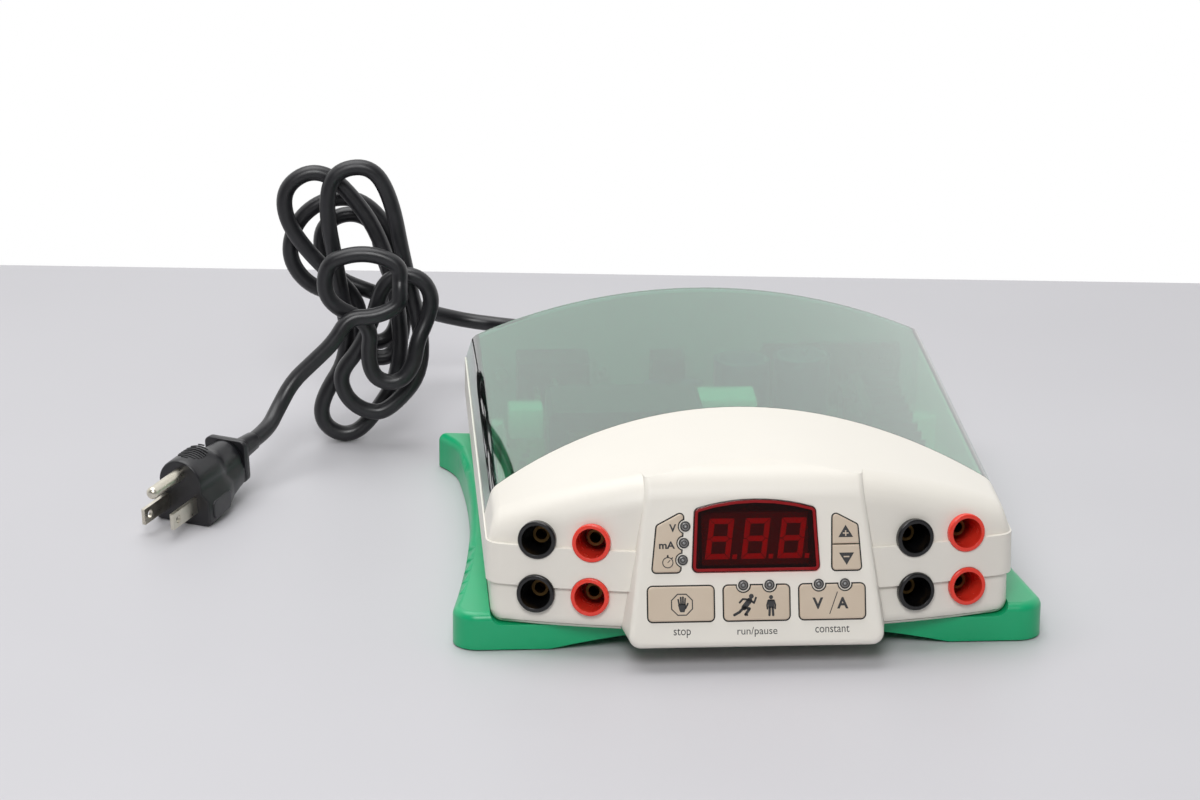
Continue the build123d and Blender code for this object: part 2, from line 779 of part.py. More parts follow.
with BuildPart() as housing_screws:
    with BuildSketch(Plane.XY.offset(screw_seat_z - screw_head_height)):
        with Locations(*post_places):
            Circle(screw_head_radius)
            RegularPolygon(1.25, 6, mode=Mode.SUBTRACT)
    extrude(amount=screw_head_height)
    with BuildSketch(Plane.XY.offset(screw_seat_z - screw_head_height / 2)):
        with Locations(*post_places):
            Circle(screw_radius)
    extrude(amount=screw_top_z - screw_seat_z + screw_head_height / 2)
save(housing_screws, "housing_screws")

# Keys: caps held behind the face by their flanges, each with a stem in its switch
flange_front = pod_wall + key_flange_gap
flange_back = flange_front + key_flange_thickness
switch_front = front_board_depth - switch_height
stem_tip = switch_front + key_stem_reach


def key_middle(name):
    """Place of a key's stem and switch on the pod's face."""
    if name in wide_key_places:
        return (wide_key_places[name], wide_key_middle)
    middle = key_outline(name).face().center()
    return (middle.X, middle.Y)


key_places = {name: key_middle(name) for name in key_names()}
for name in key_names():
    with BuildPart() as key:
        with BuildSketch(pod_plane.offset(key_proud)):
            add(key_outline(name))
        extrude(amount=-(key_proud + flange_back - key_flange_thickness / 2))
        fillet(key.faces().sort_by(Axis(pod_plane.origin, pod_plane.z_dir))[-1].edges(), key_edge_round)
        with BuildSketch(pod_plane.offset(-flange_front)):
            add(key_outline(name, key_flange if name not in ("plus_key", "minus_key") else 0))
            if name in ("plus_key", "minus_key"):
                side = 1 if name == "plus_key" else -1
                with BuildLine():
                    Polyline(*change_points, close=True)
                make_face()
                offset(amount=key_flange)
                with Locations((change_points[0][0] + 5, change_split + side * (key_gap / 2 + 20))):
                    Rectangle(40, 40, mode=Mode.INTERSECT)
        extrude(amount=-key_flange_thickness)
        if key_lamps(name):
            with BuildSketch(pod_plane.offset(key_proud)):
                with Locations(*key_lamps(name)):
                    Circle(lamp_tab_radius + key_gap)
            extrude(amount=-(key_proud + flange_back), mode=Mode.SUBTRACT)
        with BuildSketch(pod_plane.offset(-flange_front)):
            with Locations(key_places[name]):
                Circle(key_stem_radius)
        extrude(amount=-(stem_tip - flange_front))
    save(key, name)

with BuildPart() as key_switches:
    with BuildSketch(pod_plane.offset(-switch_front)):
        with Locations(*key_places.values()):
            Rectangle(switch_size, switch_size)
    extrude(amount=-switch_height)
    chamfer(key_switches.edges().filter_by(Axis(pod_plane.origin, pod_plane.z_dir)), 0.6)
    with BuildSketch(pod_plane.offset(-switch_front)):
        with Locations(*key_places.values()):
            Circle(key_stem_radius + key_stem_fit)
    extrude(amount=-(key_stem_reach + key_travel + 0.4), mode=Mode.SUBTRACT)
save(key_switches, "key_switches")

with BuildPart() as front_board:
    with BuildSketch(pod_plane.offset(-front_board_depth)) as outline:
        with Locations((0, (front_board_low + front_board_high) / 2)):
            RectangleRounded(2 * front_board_half, front_board_high - front_board_low, 1.5)
        with Locations(*front_post_points):
            Circle(front_screw_radius + fit_gap, mode=Mode.SUBTRACT)
    extrude(amount=-board_thickness)
save(front_board, "front_board")

front_board_back = front_board_depth + board_thickness
with BuildPart() as front_board_screws:
    with BuildSketch(pod_plane.offset(-front_board_back)):
        with Locations(*front_post_points):
            Circle(2 * front_screw_radius)
    extrude(amount=-front_screw_radius)
    with BuildSketch(pod_plane.offset(-front_board_back)):
        with Locations(*front_post_points):
            Circle(front_screw_radius)
    extrude(amount=front_board_back - pod_wall - 1)
save(front_board_screws, "front_board_screws")

# Lamps: a dome on a leg down to the board
with BuildPart() as indicator_lights:
    for place in lamp_places:
        at = pod_plane.offset(-front_board_depth)
        with BuildSketch(at):
            with Locations(place):
                Circle(lamp_radius)
        extrude(amount=front_board_depth + lamp_proud)
        tip = indicator_lights.edges().filter_by(GeomType.CIRCLE)
        tip = tip.sort_by(Axis(pod_plane.origin, pod_plane.z_dir)).filter_by(
            lambda e: abs(pod_plane.to_local_coords(e.center()).Z - lamp_proud) < 0.01
        )
        fillet(tip, lamp_radius * 0.45)
save(indicator_lights, "indicator_lights")

# Red window with a raised rim, and the three-digit display behind it
with BuildPart() as display_window:
    with BuildSketch(pod_plane.offset(window_rim_proud)):
        add(window_outline())
    extrude(amount=-(window_rim_proud + pod_wall + window_flange_thickness / 2))
    fillet(display_window.faces().sort_by(Axis(pod_plane.origin, pod_plane.z_dir))[-1].edges(), 0.4)
    with BuildSketch(pod_plane.offset(window_rim_proud)):
        add(window_outline(-window_rim))
    extrude(amount=-(window_rim_proud - window_proud), mode=Mode.SUBTRACT)
    with BuildSketch(pod_plane.offset(-pod_wall - window_fit)):
        add(window_outline(window_flange))
    extrude(amount=-window_flange_thickness)
    with BuildSketch(pod_plane.offset(-pod_wall + 0.4)):
        add(window_outline(-window_rim))
    extrude(amount=-window_flange_thickness - 0.4 - window_fit, mode=Mode.SUBTRACT)
save(display_window, "display_window")

with BuildPart() as display_module:
    with BuildSketch(pod_plane.offset(-front_board_depth)):
        with Locations((0, display_middle)):
            Rectangle(display_width, display_height)
    extrude(amount=front_board_depth - pod_wall)
    face = display_module.faces().sort_by(Axis(pod_plane.origin, pod_plane.z_dir))[-1]
    chamfer(face.edges(), 0.4)
save(display_module, "display_module")

# Output jacks: shroud with a ring in front, a contact tube deep inside, and a board behind
for colour, columns in (("black", {-1: -0.5, 1: -0.5}), ("red", {-1: 0.5, 1: 0.5})):
    with BuildPart() as jacks:
        for side, column, row in jack_slots:
            if column != columns[side]:
                continue
            at = jack_plane(side, column, row)
            with BuildSketch(at):
                Circle(jack_ring_radius)
            extrude(amount=-jack_ring_depth)
            ring = jacks.faces().filter_by(lambda f: (f.center() - at.origin).length < 0.01)
            fillet(ring.edges(), 0.6)
            with BuildSketch(at.offset(-jack_ring_depth)):
                Circle(jack_body_radius)
            extrude(amount=-(jack_length - jack_ring_depth))
            with BuildSketch(at):
                Circle(jack_bore_radius)
            extrude(amount=-jack_bore_depth, mode=Mode.SUBTRACT)
            with BuildSketch(at.offset(-jack_bore_depth)):
                Circle(contact_radius)
            extrude(amount=-(jack_length - jack_bore_depth), mode=Mode.SUBTRACT)
    save(jacks, f"{colour}_jacks")

with BuildPart() as jack_contacts:
    for slot in jack_slots:
        at = jack_plane(*slot)
        with BuildSketch(at.offset(-contact_tip_depth)):
            Circle(contact_radius)
        extrude(amount=-(jack_length - contact_tip_depth))
        with BuildSketch(at.offset(-contact_tip_depth)):
            Circle(contact_bore_radius)
        extrude(amount=-contact_bore_depth, mode=Mode.SUBTRACT)
        with BuildSketch(at.offset(-jack_length)):
            Circle(contact_tail_radius)
        extrude(amount=-contact_tail_length)
save(jack_contacts, "jack_contacts")

jack_board_depth = jack_length + fit_gap / 2
with BuildPart() as jack_boards:
    for side in (-1, 1):
        at = jack_plane(side, 0, 0.5).offset(-jack_board_depth)
        with BuildSketch(at):
            Rectangle(jack_board_width, jack_row_pitch + 2 * jack_board_margin)
            with GridLocations(jack_pitch, jack_row_pitch, 2, 2):
                Circle(contact_tail_radius + thread_fit, mode=Mode.SUBTRACT)
        extrude(amount=-board_thickness)
save(jack_boards, "jack_boards")

# Power board on its bosses
with BuildPart() as main_board:
    with BuildSketch(Plane.XY.offset(main_board_z)):
        middle_y = (main_board_front_y + main_board_rear_y) / 2
        with Locations((0, middle_y)):
            RectangleRounded(2 * main_board_half, main_board_rear_y - main_board_front_y, 2)
        with Locations(*boss_places):
            Circle(board_screw_radius + fit_gap, mode=Mode.SUBTRACT)
        for x, y in post_places:
            with Locations((x, y)):
                Circle(post_radius + 3, mode=Mode.SUBTRACT)
    extrude(amount=board_thickness)
save(main_board, "main_board")
board_top_z = main_board_z + board_thickness

with BuildPart() as board_screws:
    with BuildSketch(Plane.XY.offset(board_top_z)):
        with Locations(*boss_places):
            Circle(screw_head_radius)
    extrude(amount=screw_head_height)
    with BuildSketch(Plane.XY.offset(floor_top_z + fit_gap)):
        with Locations(*boss_places):
            Circle(board_screw_radius)
    extrude(amount=board_top_z - floor_top_z)
save(board_screws, "board_screws")

# Transformer: three-limbed core with a wound bobbin on its middle limb
core_back = (core_middle[0], core_middle[1] + core_depth / 2, board_top_z)
core_plane = Plane(origin=core_back, x_dir=(1, 0, 0), z_dir=(0, -1, 0))
window_width = (core_width - 2 * core_limb / 2 - core_limb) / 2
window_height = core_height - core_limb
with BuildPart() as transformer_core:
    with BuildSketch(core_plane):
        with Locations((0, core_height / 2)):
            Rectangle(core_width, core_height)
            with Locations(((core_limb + window_width) / 2, 0), (-(core_limb + window_width) / 2, 0)):
                Rectangle(window_width, window_height, mode=Mode.SUBTRACT)
    extrude(amount=core_depth)
    chamfer(transformer_core.edges().filter_by(Axis.Y).sort_by(Axis.Z)[-2:], 1.5)
save(transformer_core, "transformer_core")

with BuildPart() as transformer_winding:
    winding_foot = board_top_z + core_limb / 2 + fit_gap
    with BuildSketch(Plane.XY.offset(winding_foot)) as outline:
        with Locations(core_middle):
            RectangleRounded(core_limb + 2 * window_width - 2 * fit_gap, winding_depth, winding_round)
            Rectangle(core_limb + 2 * fit_gap, core_depth + 2 * fit_gap, mode=Mode.SUBTRACT)
    extrude(amount=window_height - 2 * fit_gap)
save(transformer_winding, "transformer_winding")

# Heat sinks along the right side, with the power transistors on their flat faces
fin_pitch = (sink_length - sink_fin_thickness) / (sink_fin_count - 1)
with BuildPart() as heat_sinks:
    with BuildSketch(Plane.XY.offset(board_top_z)):
        for y in sink_ys:
            with Locations((sink_x, y)):
                Rectangle(sink_base, sink_length)
            with Locations((sink_x + (sink_base + sink_fin_reach) / 2 - 0.5, y)):
                with GridLocations(0, fin_pitch, 1, sink_fin_count):
                    Rectangle(sink_fin_reach + 1, sink_fin_thickness)
    extrude(amount=sink_height)
save(heat_sinks, "heat_sinks")

with BuildPart() as power_transistors:
    face_x = sink_x - sink_base / 2
    with BuildSketch(Plane.XY.offset(board_top_z + transistor_lift)):
        for y in sink_ys:
            with Locations((face_x - transistor_thickness / 2, y)):
                with GridLocations(0, transistor_pitch, 1, 2):
                    Rectangle(transistor_thickness, transistor_width)
    extrude(amount=transistor_height)
    hole_z = board_top_z + transistor_lift + transistor_height * 0.72
    for y in sink_ys:
        for step in (-0.5, 0.5):
            with Locations(Location((face_x, y + step * transistor_pitch, hole_z), (0, 90, 0))):
                Cylinder(1.7, 4 * transistor_thickness, mode=Mode.SUBTRACT)
    with BuildSketch(Plane.XY.offset(board_top_z)):
        for y in sink_ys:
            with Locations((face_x - transistor_thickness / 2, y)):
                with GridLocations(0, transistor_pitch, 1, 2):
                    with GridLocations(0, 5.4, 1, 3):
                        Rectangle(0.8, 1.2)
    extrude(amount=transistor_lift + 0.5)
save(power_transistors, "power_transistors")

# Capacitors: cans with a rolled groove near the foot
with BuildPart() as capacitors:
    sizes = (
        (capacitor_places, capacitor_radius, capacitor_height),
        (small_capacitor_places, small_capacitor_radius, small_capacitor_height),
    )
    for places, radius, height in sizes:
        with BuildSketch(Plane.XY.offset(board_top_z)):
            with Locations(*places):
                Circle(radius)
        extrude(amount=height)
        for x, y in places:
            with Locations((x, y, board_top_z + height * 0.14)):
                Torus(radius + 0.6, 1.2, mode=Mode.SUBTRACT)
save(capacitors, "capacitors")

with BuildPart() as inductor:
    with Locations((*inductor_middle, board_top_z + inductor_tube)):
        Torus(inductor_radius - inductor_tube, inductor_tube)
    split(bisect_by=Plane.XY.offset(board_top_z + 0.3), keep=Keep.TOP)
    with Locations((*inductor_middle, board_top_z)):
        Cylinder(inductor_radius - inductor_tube, 1.5, align=(Align.CENTER, Align.CENTER, Align.MIN))
save(inductor, "inductor")

with BuildPart() as relays:
    with BuildSketch(Plane.XY.offset(board_top_z)):
        with Locations(*relay_places):
            RectangleRounded(relay_size[0], relay_size[1], 1)
    extrude(amount=relay_size[2])
save(relays, "relays")

with BuildPart() as board_connectors:
    for places, size in (([(0, header_y)], header_size), (terminal_places, terminal_size)):
        with BuildSketch(Plane.XY.offset(board_top_z)):
            with Locations(*places):
                Rectangle(size[0], size[1])
        extrude(amount=size[2])
    with BuildSketch(Plane.XY.offset(board_top_z + header_size[2])):
        with Locations((0, header_y)):
            Rectangle(ribbon_width + 2 * fit_gap, ribbon_thickness + 2 * fit_gap)
    extrude(amount=-header_size[2] / 2, mode=Mode.SUBTRACT)
    for x, y in terminal_places:
        with BuildSketch(Plane.XY.offset(board_top_z + terminal_size[2])):
            with Locations((x, y)):
                with GridLocations(terminal_size[0] / 4, 0, 4, 1):
                    Circle(1.8)
        extrude(amount=-4, mode=Mode.SUBTRACT)
save(board_connectors, "board_connectors")

# Ribbon cable from the board behind the face to the power board's header
with BuildPart() as ribbon_cable:
    start = pod_plane.from_local_coords(Vector(0, 24, -front_board_back - fit_gap / 2))
    away = pod_plane.z_dir * -1
    first = start + away * 6
    header_top_z = board_top_z + header_size[2]
    end = Vector(0, header_y, header_top_z - header_size[2] / 2 + fit_gap)
    last = Vector(0, header_y, header_top_z + 9)
    with BuildSketch(Plane.YZ) as outline:
        with BuildLine() as line:
            FilletPolyline(*((place.Y, place.Z) for place in (start, first, last, end)), radius=3.5)
        trace(line_width=ribbon_thickness)
    extrude(amount=ribbon_width / 2, both=True)
save(ribbon_cable, "ribbon_cable")

# Rear panel, closing the case inside its rear edge; local X runs from right to left
def rear_plane(y):
    """Plane parallel to the rear panel, facing back: local X is to the left, local Y is up."""
    return Plane(origin=(0, y, 0), x_dir=(-1, 0, 0), z_dir=(0, 1, 0))


def behind(place):
    """A place on the rear panel in the rear plane's own coordinates."""
    return (-place[0], place[1])


with BuildPart() as rear_panel:
    add(case_slab(floor_top_z + fit_gap / 2, ledge_z, -wall - fit_gap))
    add(crown_block(wall + fit_gap))
    with BuildSketch(rear_plane(rear_inner_y)):
        Rectangle(3 * body_half_width, 4 * case_height)
    extrude(amount=rear_panel_thickness, mode=Mode.INTERSECT)
    with BuildSketch(rear_plane(rear_inner_y)):
        with Locations(behind(inlet_place)):
            Rectangle(inlet_body[0] + 2 * fit_gap, inlet_body[1] + 2 * fit_gap)
            with GridLocations(2 * inlet_screw_half_pitch, 0, 2, 1):
                Circle(screw_radius + thread_fit)
        with Locations(behind(rocker_place)):
            Rectangle(rocker_body[0] + 2 * fit_gap, rocker_body[1] + 2 * fit_gap)
        with Locations(behind(fuse_place)):
            Circle(fuse_holder_radius + fit_gap)
        with Locations(behind((vent_x, (vent_foot_z + vent_top_z) / 2))):
            with GridLocations(vent_pitch, 0, vent_count, 1):
                SlotOverall(vent_top_z - vent_foot_z, vent_width, rotation=90)
    extrude(amount=rear_panel_thickness, mode=Mode.SUBTRACT)
save(rear_panel, "rear_panel")


def inlet_outline(size, bevel, grow=0.0):
    """The appliance inlet's outline: a rectangle with its two upper corners cut off."""
    with BuildSketch() as outline:
        Rectangle(size[0], size[1])
        chamfer(outline.vertices().group_by(Axis.Y)[-1], bevel)
        if grow:
            offset(amount=grow, kind=Kind.INTERSECTION)
    return outline.sketch


inlet_face_y = rear_panel_outer_y + inlet_flange_thickness
pin_places = [(side * inlet_pin_half_pitch, -inlet_pin_drop) for side in (-1, 1)] + [(0, inlet_pin_drop)]
with BuildPart() as mains_inlet:
    with BuildSketch(rear_plane(rear_panel_outer_y)):
        with Locations(behind(inlet_place)):
            SlotOverall(inlet_flange[0], inlet_flange[1])
            with GridLocations(2 * inlet_screw_half_pitch, 0, 2, 1):
                Circle(screw_radius + thread_fit, mode=Mode.SUBTRACT)
    extrude(amount=inlet_flange_thickness)
    with BuildSketch(rear_plane(inlet_face_y - 1)):
        with Locations(behind(inlet_place)):
            Rectangle(inlet_body[0], inlet_body[1])
    extrude(amount=-(inlet_body_depth + inlet_flange_thickness - 1))
    with BuildSketch(rear_plane(inlet_face_y)):
        with Locations(behind(inlet_place)):
            add(inlet_outline(inlet_bore, inlet_bevel))
    extrude(amount=-inlet_bore_depth, mode=Mode.SUBTRACT)
    with BuildSketch(rear_plane(inlet_face_y - inlet_bore_depth)):
        with Locations(behind(inlet_place)):
            with Locations(*pin_places):
                Rectangle(inlet_pin[0] + fit_gap, inlet_pin[1] + fit_gap)
    extrude(amount=-inlet_body_depth, mode=Mode.SUBTRACT)
save(mains_inlet, "mains_inlet")

inlet_back_y = rear_panel_outer_y - inlet_body_depth
with BuildPart() as inlet_pins:
    with BuildSketch(rear_plane(inlet_back_y - inlet_tab_length)):
        with Locations(behind(inlet_place)):
            with Locations(*pin_places):
                Rectangle(inlet_pin[0], inlet_pin[1])
    extrude(amount=inlet_tab_length + inlet_face_y - inlet_bore_depth + inlet_pin_length - inlet_back_y)
save(inlet_pins, "inlet_pins")

with BuildPart() as inlet_screws:
    with BuildSketch(rear_plane(inlet_face_y)):
        with Locations(behind(inlet_place)):
            with GridLocations(2 * inlet_screw_half_pitch, 0, 2, 1):
                Circle(screw_radius)
    extrude(amount=-(inlet_flange_thickness + rear_panel_thickness + 3))
    with BuildSketch(rear_plane(rear_inner_y)):
        with Locations(behind(inlet_place)):
            with GridLocations(2 * inlet_screw_half_pitch, 0, 2, 1):
                RegularPolygon(screw_head_radius, 6)
    extrude(amount=-screw_head_height)
save(inlet_screws, "inlet_screws")

# Mains switch: frame with a rocker on a cross pin
pivot_y = rear_panel_outer_y - rocker_pivot_depth
with BuildPart() as switch_frame:
    with BuildSketch(rear_plane(rear_panel_outer_y)):
        with Locations(behind(rocker_place)):
            RectangleRounded(rocker_bezel[0], rocker_bezel[1], 1)
    extrude(amount=rocker_bezel_thickness)
    with BuildSketch(rear_plane(rear_panel_outer_y)):
        with Locations(behind(rocker_place)):
            Rectangle(rocker_body[0], rocker_body[1])
    extrude(amount=-rocker_body_depth)
    with BuildSketch(rear_plane(rear_panel_outer_y + rocker_bezel_thickness)):
        with Locations(behind(rocker_place)):
            Rectangle(rocker_window[0], rocker_window[1])
    extrude(amount=-(rocker_bezel_thickness + rocker_body_depth - 2), mode=Mode.SUBTRACT)
    with BuildSketch(Plane(origin=(rocker_place[0], pivot_y, rocker_place[1]), z_dir=(1, 0, 0))):
        Circle(rocker_pin_radius + rocker_pin_fit)
    extrude(amount=rocker_body[0] / 2 - 0.5, both=True, mode=Mode.SUBTRACT)
save(switch_frame, "switch_frame")

with BuildPart() as power_rocker:
    side_plane = Plane(origin=(rocker_place[0], pivot_y, rocker_place[1]), x_dir=(0, 1, 0), z_dir=(1, 0, 0))
    crest = rocker_pivot_depth + rocker_bezel_thickness
    half = rocker_length / 2
    with BuildSketch(side_plane):
        with BuildLine():
            Line((-1.0, 3.4), (2.4, half))
            Line((2.4, half), (crest, half))
            ThreePointArc((crest, half), (crest - 0.9, 0), (crest, -half))
            Line((crest, -half), (2.4, -half))
            Polyline((2.4, -half), (-1.0, -3.4), (-rocker_depth, -1.2), (-rocker_depth, 1.2), (-1.0, 3.4))
        make_face()
    extrude(amount=rocker_width / 2, both=True)
    with BuildSketch(side_plane):
        Circle(rocker_pin_radius)
    extrude(amount=rocker_body[0] / 2 - 0.6, both=True)
tilted_rocker = power_rocker.part.rotate(Axis(side_plane.origin, (1, 0, 0)), -rocker_tilt)
tilted_rocker.label = "power_rocker"
export_step(tilted_rocker, "parts/power_rocker.step")

# Fuse holder with its bayonet cap and fuse
with BuildPart() as fuse_holder:
    with BuildSketch(rear_plane(rear_panel_outer_y)):
        with Locations(behind(fuse_place)):
            Circle(fuse_flange_radius)
    extrude(amount=fuse_flange_thickness)
    with BuildSketch(rear_plane(rear_panel_outer_y)):
        with Locations(behind(fuse_place)):
            Circle(fuse_holder_radius)
    extrude(amount=-fuse_holder_length)
    with BuildSketch(rear_plane(rear_panel_outer_y + fuse_flange_thickness)):
        with Locations(behind(fuse_place)):
            Circle(fuse_bore_radius)
    extrude(amount=-(fuse_flange_thickness + fuse_holder_length - 2), mode=Mode.SUBTRACT)
save(fuse_holder, "fuse_holder")

cap_seat_y = rear_panel_outer_y + fuse_flange_thickness + thread_fit
with BuildPart() as fuse_cap:
    with BuildSketch(rear_plane(cap_seat_y)):
        with Locations(behind(fuse_place)):
            Circle(fuse_cap_radius)
    extrude(amount=fuse_cap_head)
    with BuildSketch(rear_plane(cap_seat_y)):
        with Locations(behind(fuse_place)):
            Circle(fuse_bore_radius - fuse_cap_fit)
    extrude(amount=-fuse_cap_reach)
    with BuildSketch(rear_plane(cap_seat_y + fuse_cap_head)):
        with Locations(behind(fuse_place)):
            Rectangle(2 * fuse_cap_radius * 0.8, 1.4)
    extrude(amount=-fuse_cap_head * 0.6, mode=Mode.SUBTRACT)
    with BuildSketch(rear_plane(cap_seat_y - fuse_cap_reach)):
        with Locations(behind(fuse_place)):
            Circle(fuse_radius + thread_fit)
    extrude(amount=fuse_cap_reach - 2, mode=Mode.SUBTRACT)
save(fuse_cap, "fuse_cap")

with BuildPart() as fuse:
    with BuildSketch(rear_plane(cap_seat_y - 2 - thread_fit)):
        with Locations(behind(fuse_place)):
            Circle(fuse_radius)
    extrude(amount=-fuse_length)
save(fuse, "fuse")

# Connector of the mains cord, pushed home in the inlet
connector_outline = (inlet_bore[0] - 2 * connector_fit, inlet_bore[1] - 2 * connector_fit)
connector_front_y = inlet_face_y - connector_reach
grip_front_y = inlet_face_y + fit_gap / 2
with BuildPart() as cord_connector:
    with BuildSketch(rear_plane(connector_front_y)):
        with Locations(behind(inlet_place)):
            add(inlet_outline(connector_outline, inlet_bevel))
    extrude(amount=connector_reach + 1)
    with BuildSketch(rear_plane(grip_front_y)):
        with Locations(behind(inlet_place)):
            add(inlet_outline(connector_grip, inlet_bevel))
    extrude(amount=connector_grip_length)
    with BuildSketch(rear_plane(grip_front_y + connector_grip_length + connector_shoulder)):
        with Locations(behind(inlet_place)):
            Circle(relief_foot_radius)
    with BuildSketch(rear_plane(grip_front_y + connector_grip_length)):
        with Locations(behind(inlet_place)):
            Circle(connector_grip[1] / 2 - 0.5)
    loft(ruled=True)
    with BuildSketch(rear_plane(connector_front_y)):
        with Locations(behind(inlet_place)):
            with Locations(*pin_places):
                Rectangle(inlet_pin[0] + 2 * connector_fit, inlet_pin[1] + 2 * connector_fit)
    extrude(amount=inlet_pin_length, mode=Mode.SUBTRACT)
save(cord_connector, "cord_connector")


def relief(at):
    """Tapered strain relief with grooves round it, along the plane's normal."""
    step = relief_length / relief_groove_count
    slope = (relief_foot_radius - relief_tip_radius) / relief_length
    with BuildPart() as cone:
        with BuildSketch(Plane(at.origin, at.x_dir, at.y_dir * -1)):
            with BuildLine():
                Polyline(
                    (0, 0),
                    (relief_foot_radius, 0),
                    (relief_tip_radius, relief_length),
                    (0, relief_length),
                    close=True,
                )
            make_face()
            for count in range(relief_groove_count):
                height = (count + 0.5) * step
                with Locations((relief_foot_radius - slope * height, height)):
                    Rectangle(2 * relief_groove, step / 3, mode=Mode.SUBTRACT)
        revolve(axis=Axis(at.origin, at.z_dir))
    return cone


def end_beyond(at):
    """Where a relief that starts on the plane ends."""
    return at.origin + at.z_dir * relief_length


connector_end = grip_front_y + connector_grip_length + connector_shoulder
connector_relief_plane = Plane((inlet_place[0], connector_end, inlet_place[1]), (-1, 0, 0), (0, 1, 0))
save(relief(connector_relief_plane), "connector_relief")

# Plug of the mains cord, lying on the table
plug_turn = math.radians(plug_heading)
plug_slope = -math.tan(math.radians(plug_dip))
plug_axis = Vector(math.cos(plug_turn), math.sin(plug_turn), plug_slope).normalized()
plug_across = plug_axis.cross(Vector(0, 0, 1)).normalized()
plug_plane = Plane(Vector(*plug_face, plug_size[1] / 2), plug_across, plug_axis)
plug_top = 1 if plug_plane.y_dir.Z > 0 else -1
blade_places = [(-blade_half_pitch, -plug_top * blade_drop), (blade_half_pitch, -plug_top * blade_drop)]
pin_place = (0, plug_top * ground_pin_lift)
with BuildPart() as plug_body:
    with BuildSketch(plug_plane):
        RectangleRounded(plug_size[0], plug_size[1], plug_round)
    extrude(amount=-plug_body_length)
    chamfer(plug_body.faces().sort_by(Axis(plug_plane.origin, plug_axis))[-1].edges(), 1.0)
    with BuildSketch(plug_plane.offset(-plug_body_length)):
        RectangleRounded(plug_size[0], plug_size[1], plug_round)
    with BuildSketch(plug_plane.offset(-plug_body_length - plug_shoulder)):
        RectangleRounded(2 * relief_foot_radius + 2, 2 * relief_foot_radius + 2, relief_foot_radius)
    loft()
    with BuildSketch(plug_plane):
        with Locations(*blade_places):
            Rectangle(blade_size[0] + 2 * thread_fit, blade_size[1] + 2 * thread_fit)
        with Locations(pin_place):
            Circle(ground_pin_radius + thread_fit)
    extrude(amount=-blade_root, mode=Mode.SUBTRACT)
save(plug_body, "plug_body")

with BuildPart() as plug_blades:
    with BuildSketch(plug_plane.offset(-blade_root)):
        with Locations(*blade_places):
            Rectangle(*blade_size)
    extrude(amount=blade_root + blade_length)
    chamfer(plug_blades.faces().sort_by(Axis(plug_plane.origin, plug_axis))[-2:].edges(), 0.4)
    hole_middle = plug_plane.from_local_coords(Vector(0, blade_places[0][1], blade_length - 4))
    with BuildSketch(Plane(hole_middle, plug_axis, plug_across)):
        Circle(blade_hole_radius)
    extrude(amount=2 * blade_half_pitch, both=True, mode=Mode.SUBTRACT)
save(plug_blades, "plug_blades")

with BuildPart() as ground_pin:
    with BuildSketch(plug_plane.offset(-blade_root)):
        with Locations(pin_place):
            Circle(ground_pin_radius)
    extrude(amount=blade_root + ground_pin_length)
    fillet(ground_pin.edges().sort_by(Axis(plug_plane.origin, plug_axis))[-1], ground_pin_radius * 0.9)
save(ground_pin, "ground_pin")

relief_foot = plug_plane.offset(-plug_body_length - plug_shoulder)
plug_relief_plane = Plane(relief_foot.origin, plug_across, plug_axis * -1)
save(relief(plug_relief_plane), "plug_relief")


def hank_place(across, up, depth):
    """A point of the hank, across and up its leaning front and into its depth."""
    lean = math.radians(hank_lean)
    y = hank_front_y + up * math.sin(lean) + depth * math.cos(lean)
    return Vector(hank_middle_x + across, y, up * math.cos(lean) - depth * math.sin(lean))


def hank_heading(degrees, rise=hank_rise):
    """Direction of the cord in the hank, turned from the right, and its rise into the depth."""
    turn = math.radians(degrees)
    tip = hank_place(math.cos(turn), math.sin(turn), rise)
    return (tip - hank_place(0, 0, 0)).normalized()


def hank_stations():
    """Places and headings along the hank: both sides and the tip of each bight."""
    across, up, degrees = hank_start
    stations = [(hank_place(across, up, 0), hank_heading(degrees))]
    for across, up, points, half, side, depth, gain in hank_bights:
        along = Vector(math.cos(math.radians(points)), math.sin(math.radians(points)))
        sideways = Vector(-along.Y, along.X)
        foot = Vector(across, up) - along * side
        into, out = foot - sideways * half, foot + sideways * half
        stations.append((hank_place(into.X, into.Y, depth - gain / 2), hank_heading(points)))
        stations.append((hank_place(across, up, depth), hank_heading(points + 90)))
        stations.append((hank_place(out.X, out.Y, depth + gain / 2), hank_heading(points + 180)))
    del stations[1]
    across, up, degrees = hank_end
    stations.append((hank_place(across, up, hank_end_depth), hank_heading(degrees, hank_end_rise)))
    return stations


def biarc_joint(start, heading, end, end_heading):
    """Where the two arcs of a biarc meet, and their heading there."""
    way = end - start
    both = heading + end_heading
    spread = 2 * (1 - heading.dot(end_heading))
    reach = way.dot(way) / (math.sqrt(way.dot(both) ** 2 + spread * way.dot(way)) + way.dot(both))
    first, last = start + heading * reach, end - end_heading * reach
    return (first + last) / 2, (last - first).normalized()


def free_tube(points):
    """Tube of the cord along straight runs joined by arcs as large as the runs allow."""
    runs = [b - a for a, b in zip(points, points[1:])]
    radii = []
    for run, following in zip(runs, runs[1:]):
        half_turn = math.radians(run.get_angle(following)) / 2
        radii.append(0.45 * min(run.length, following.length) / math.tan(half_turn))
    with BuildPart() as tube:
        with BuildLine() as route:
            FilletPolyline(*points, radius=radii)
        with BuildSketch(Plane(origin=points[0], z_dir=runs[0])):
            Circle(cord_radius)
        sweep()
    length = route.wire().length
    error = tube.part.volume / (math.pi * cord_radius**2 * length) - 1
    print("cord stretch", round(length, 1), "mm, volume", f"{error:+.2%}")
    print("its radii", [round(radius, 1) for radius in radii])
    return tube


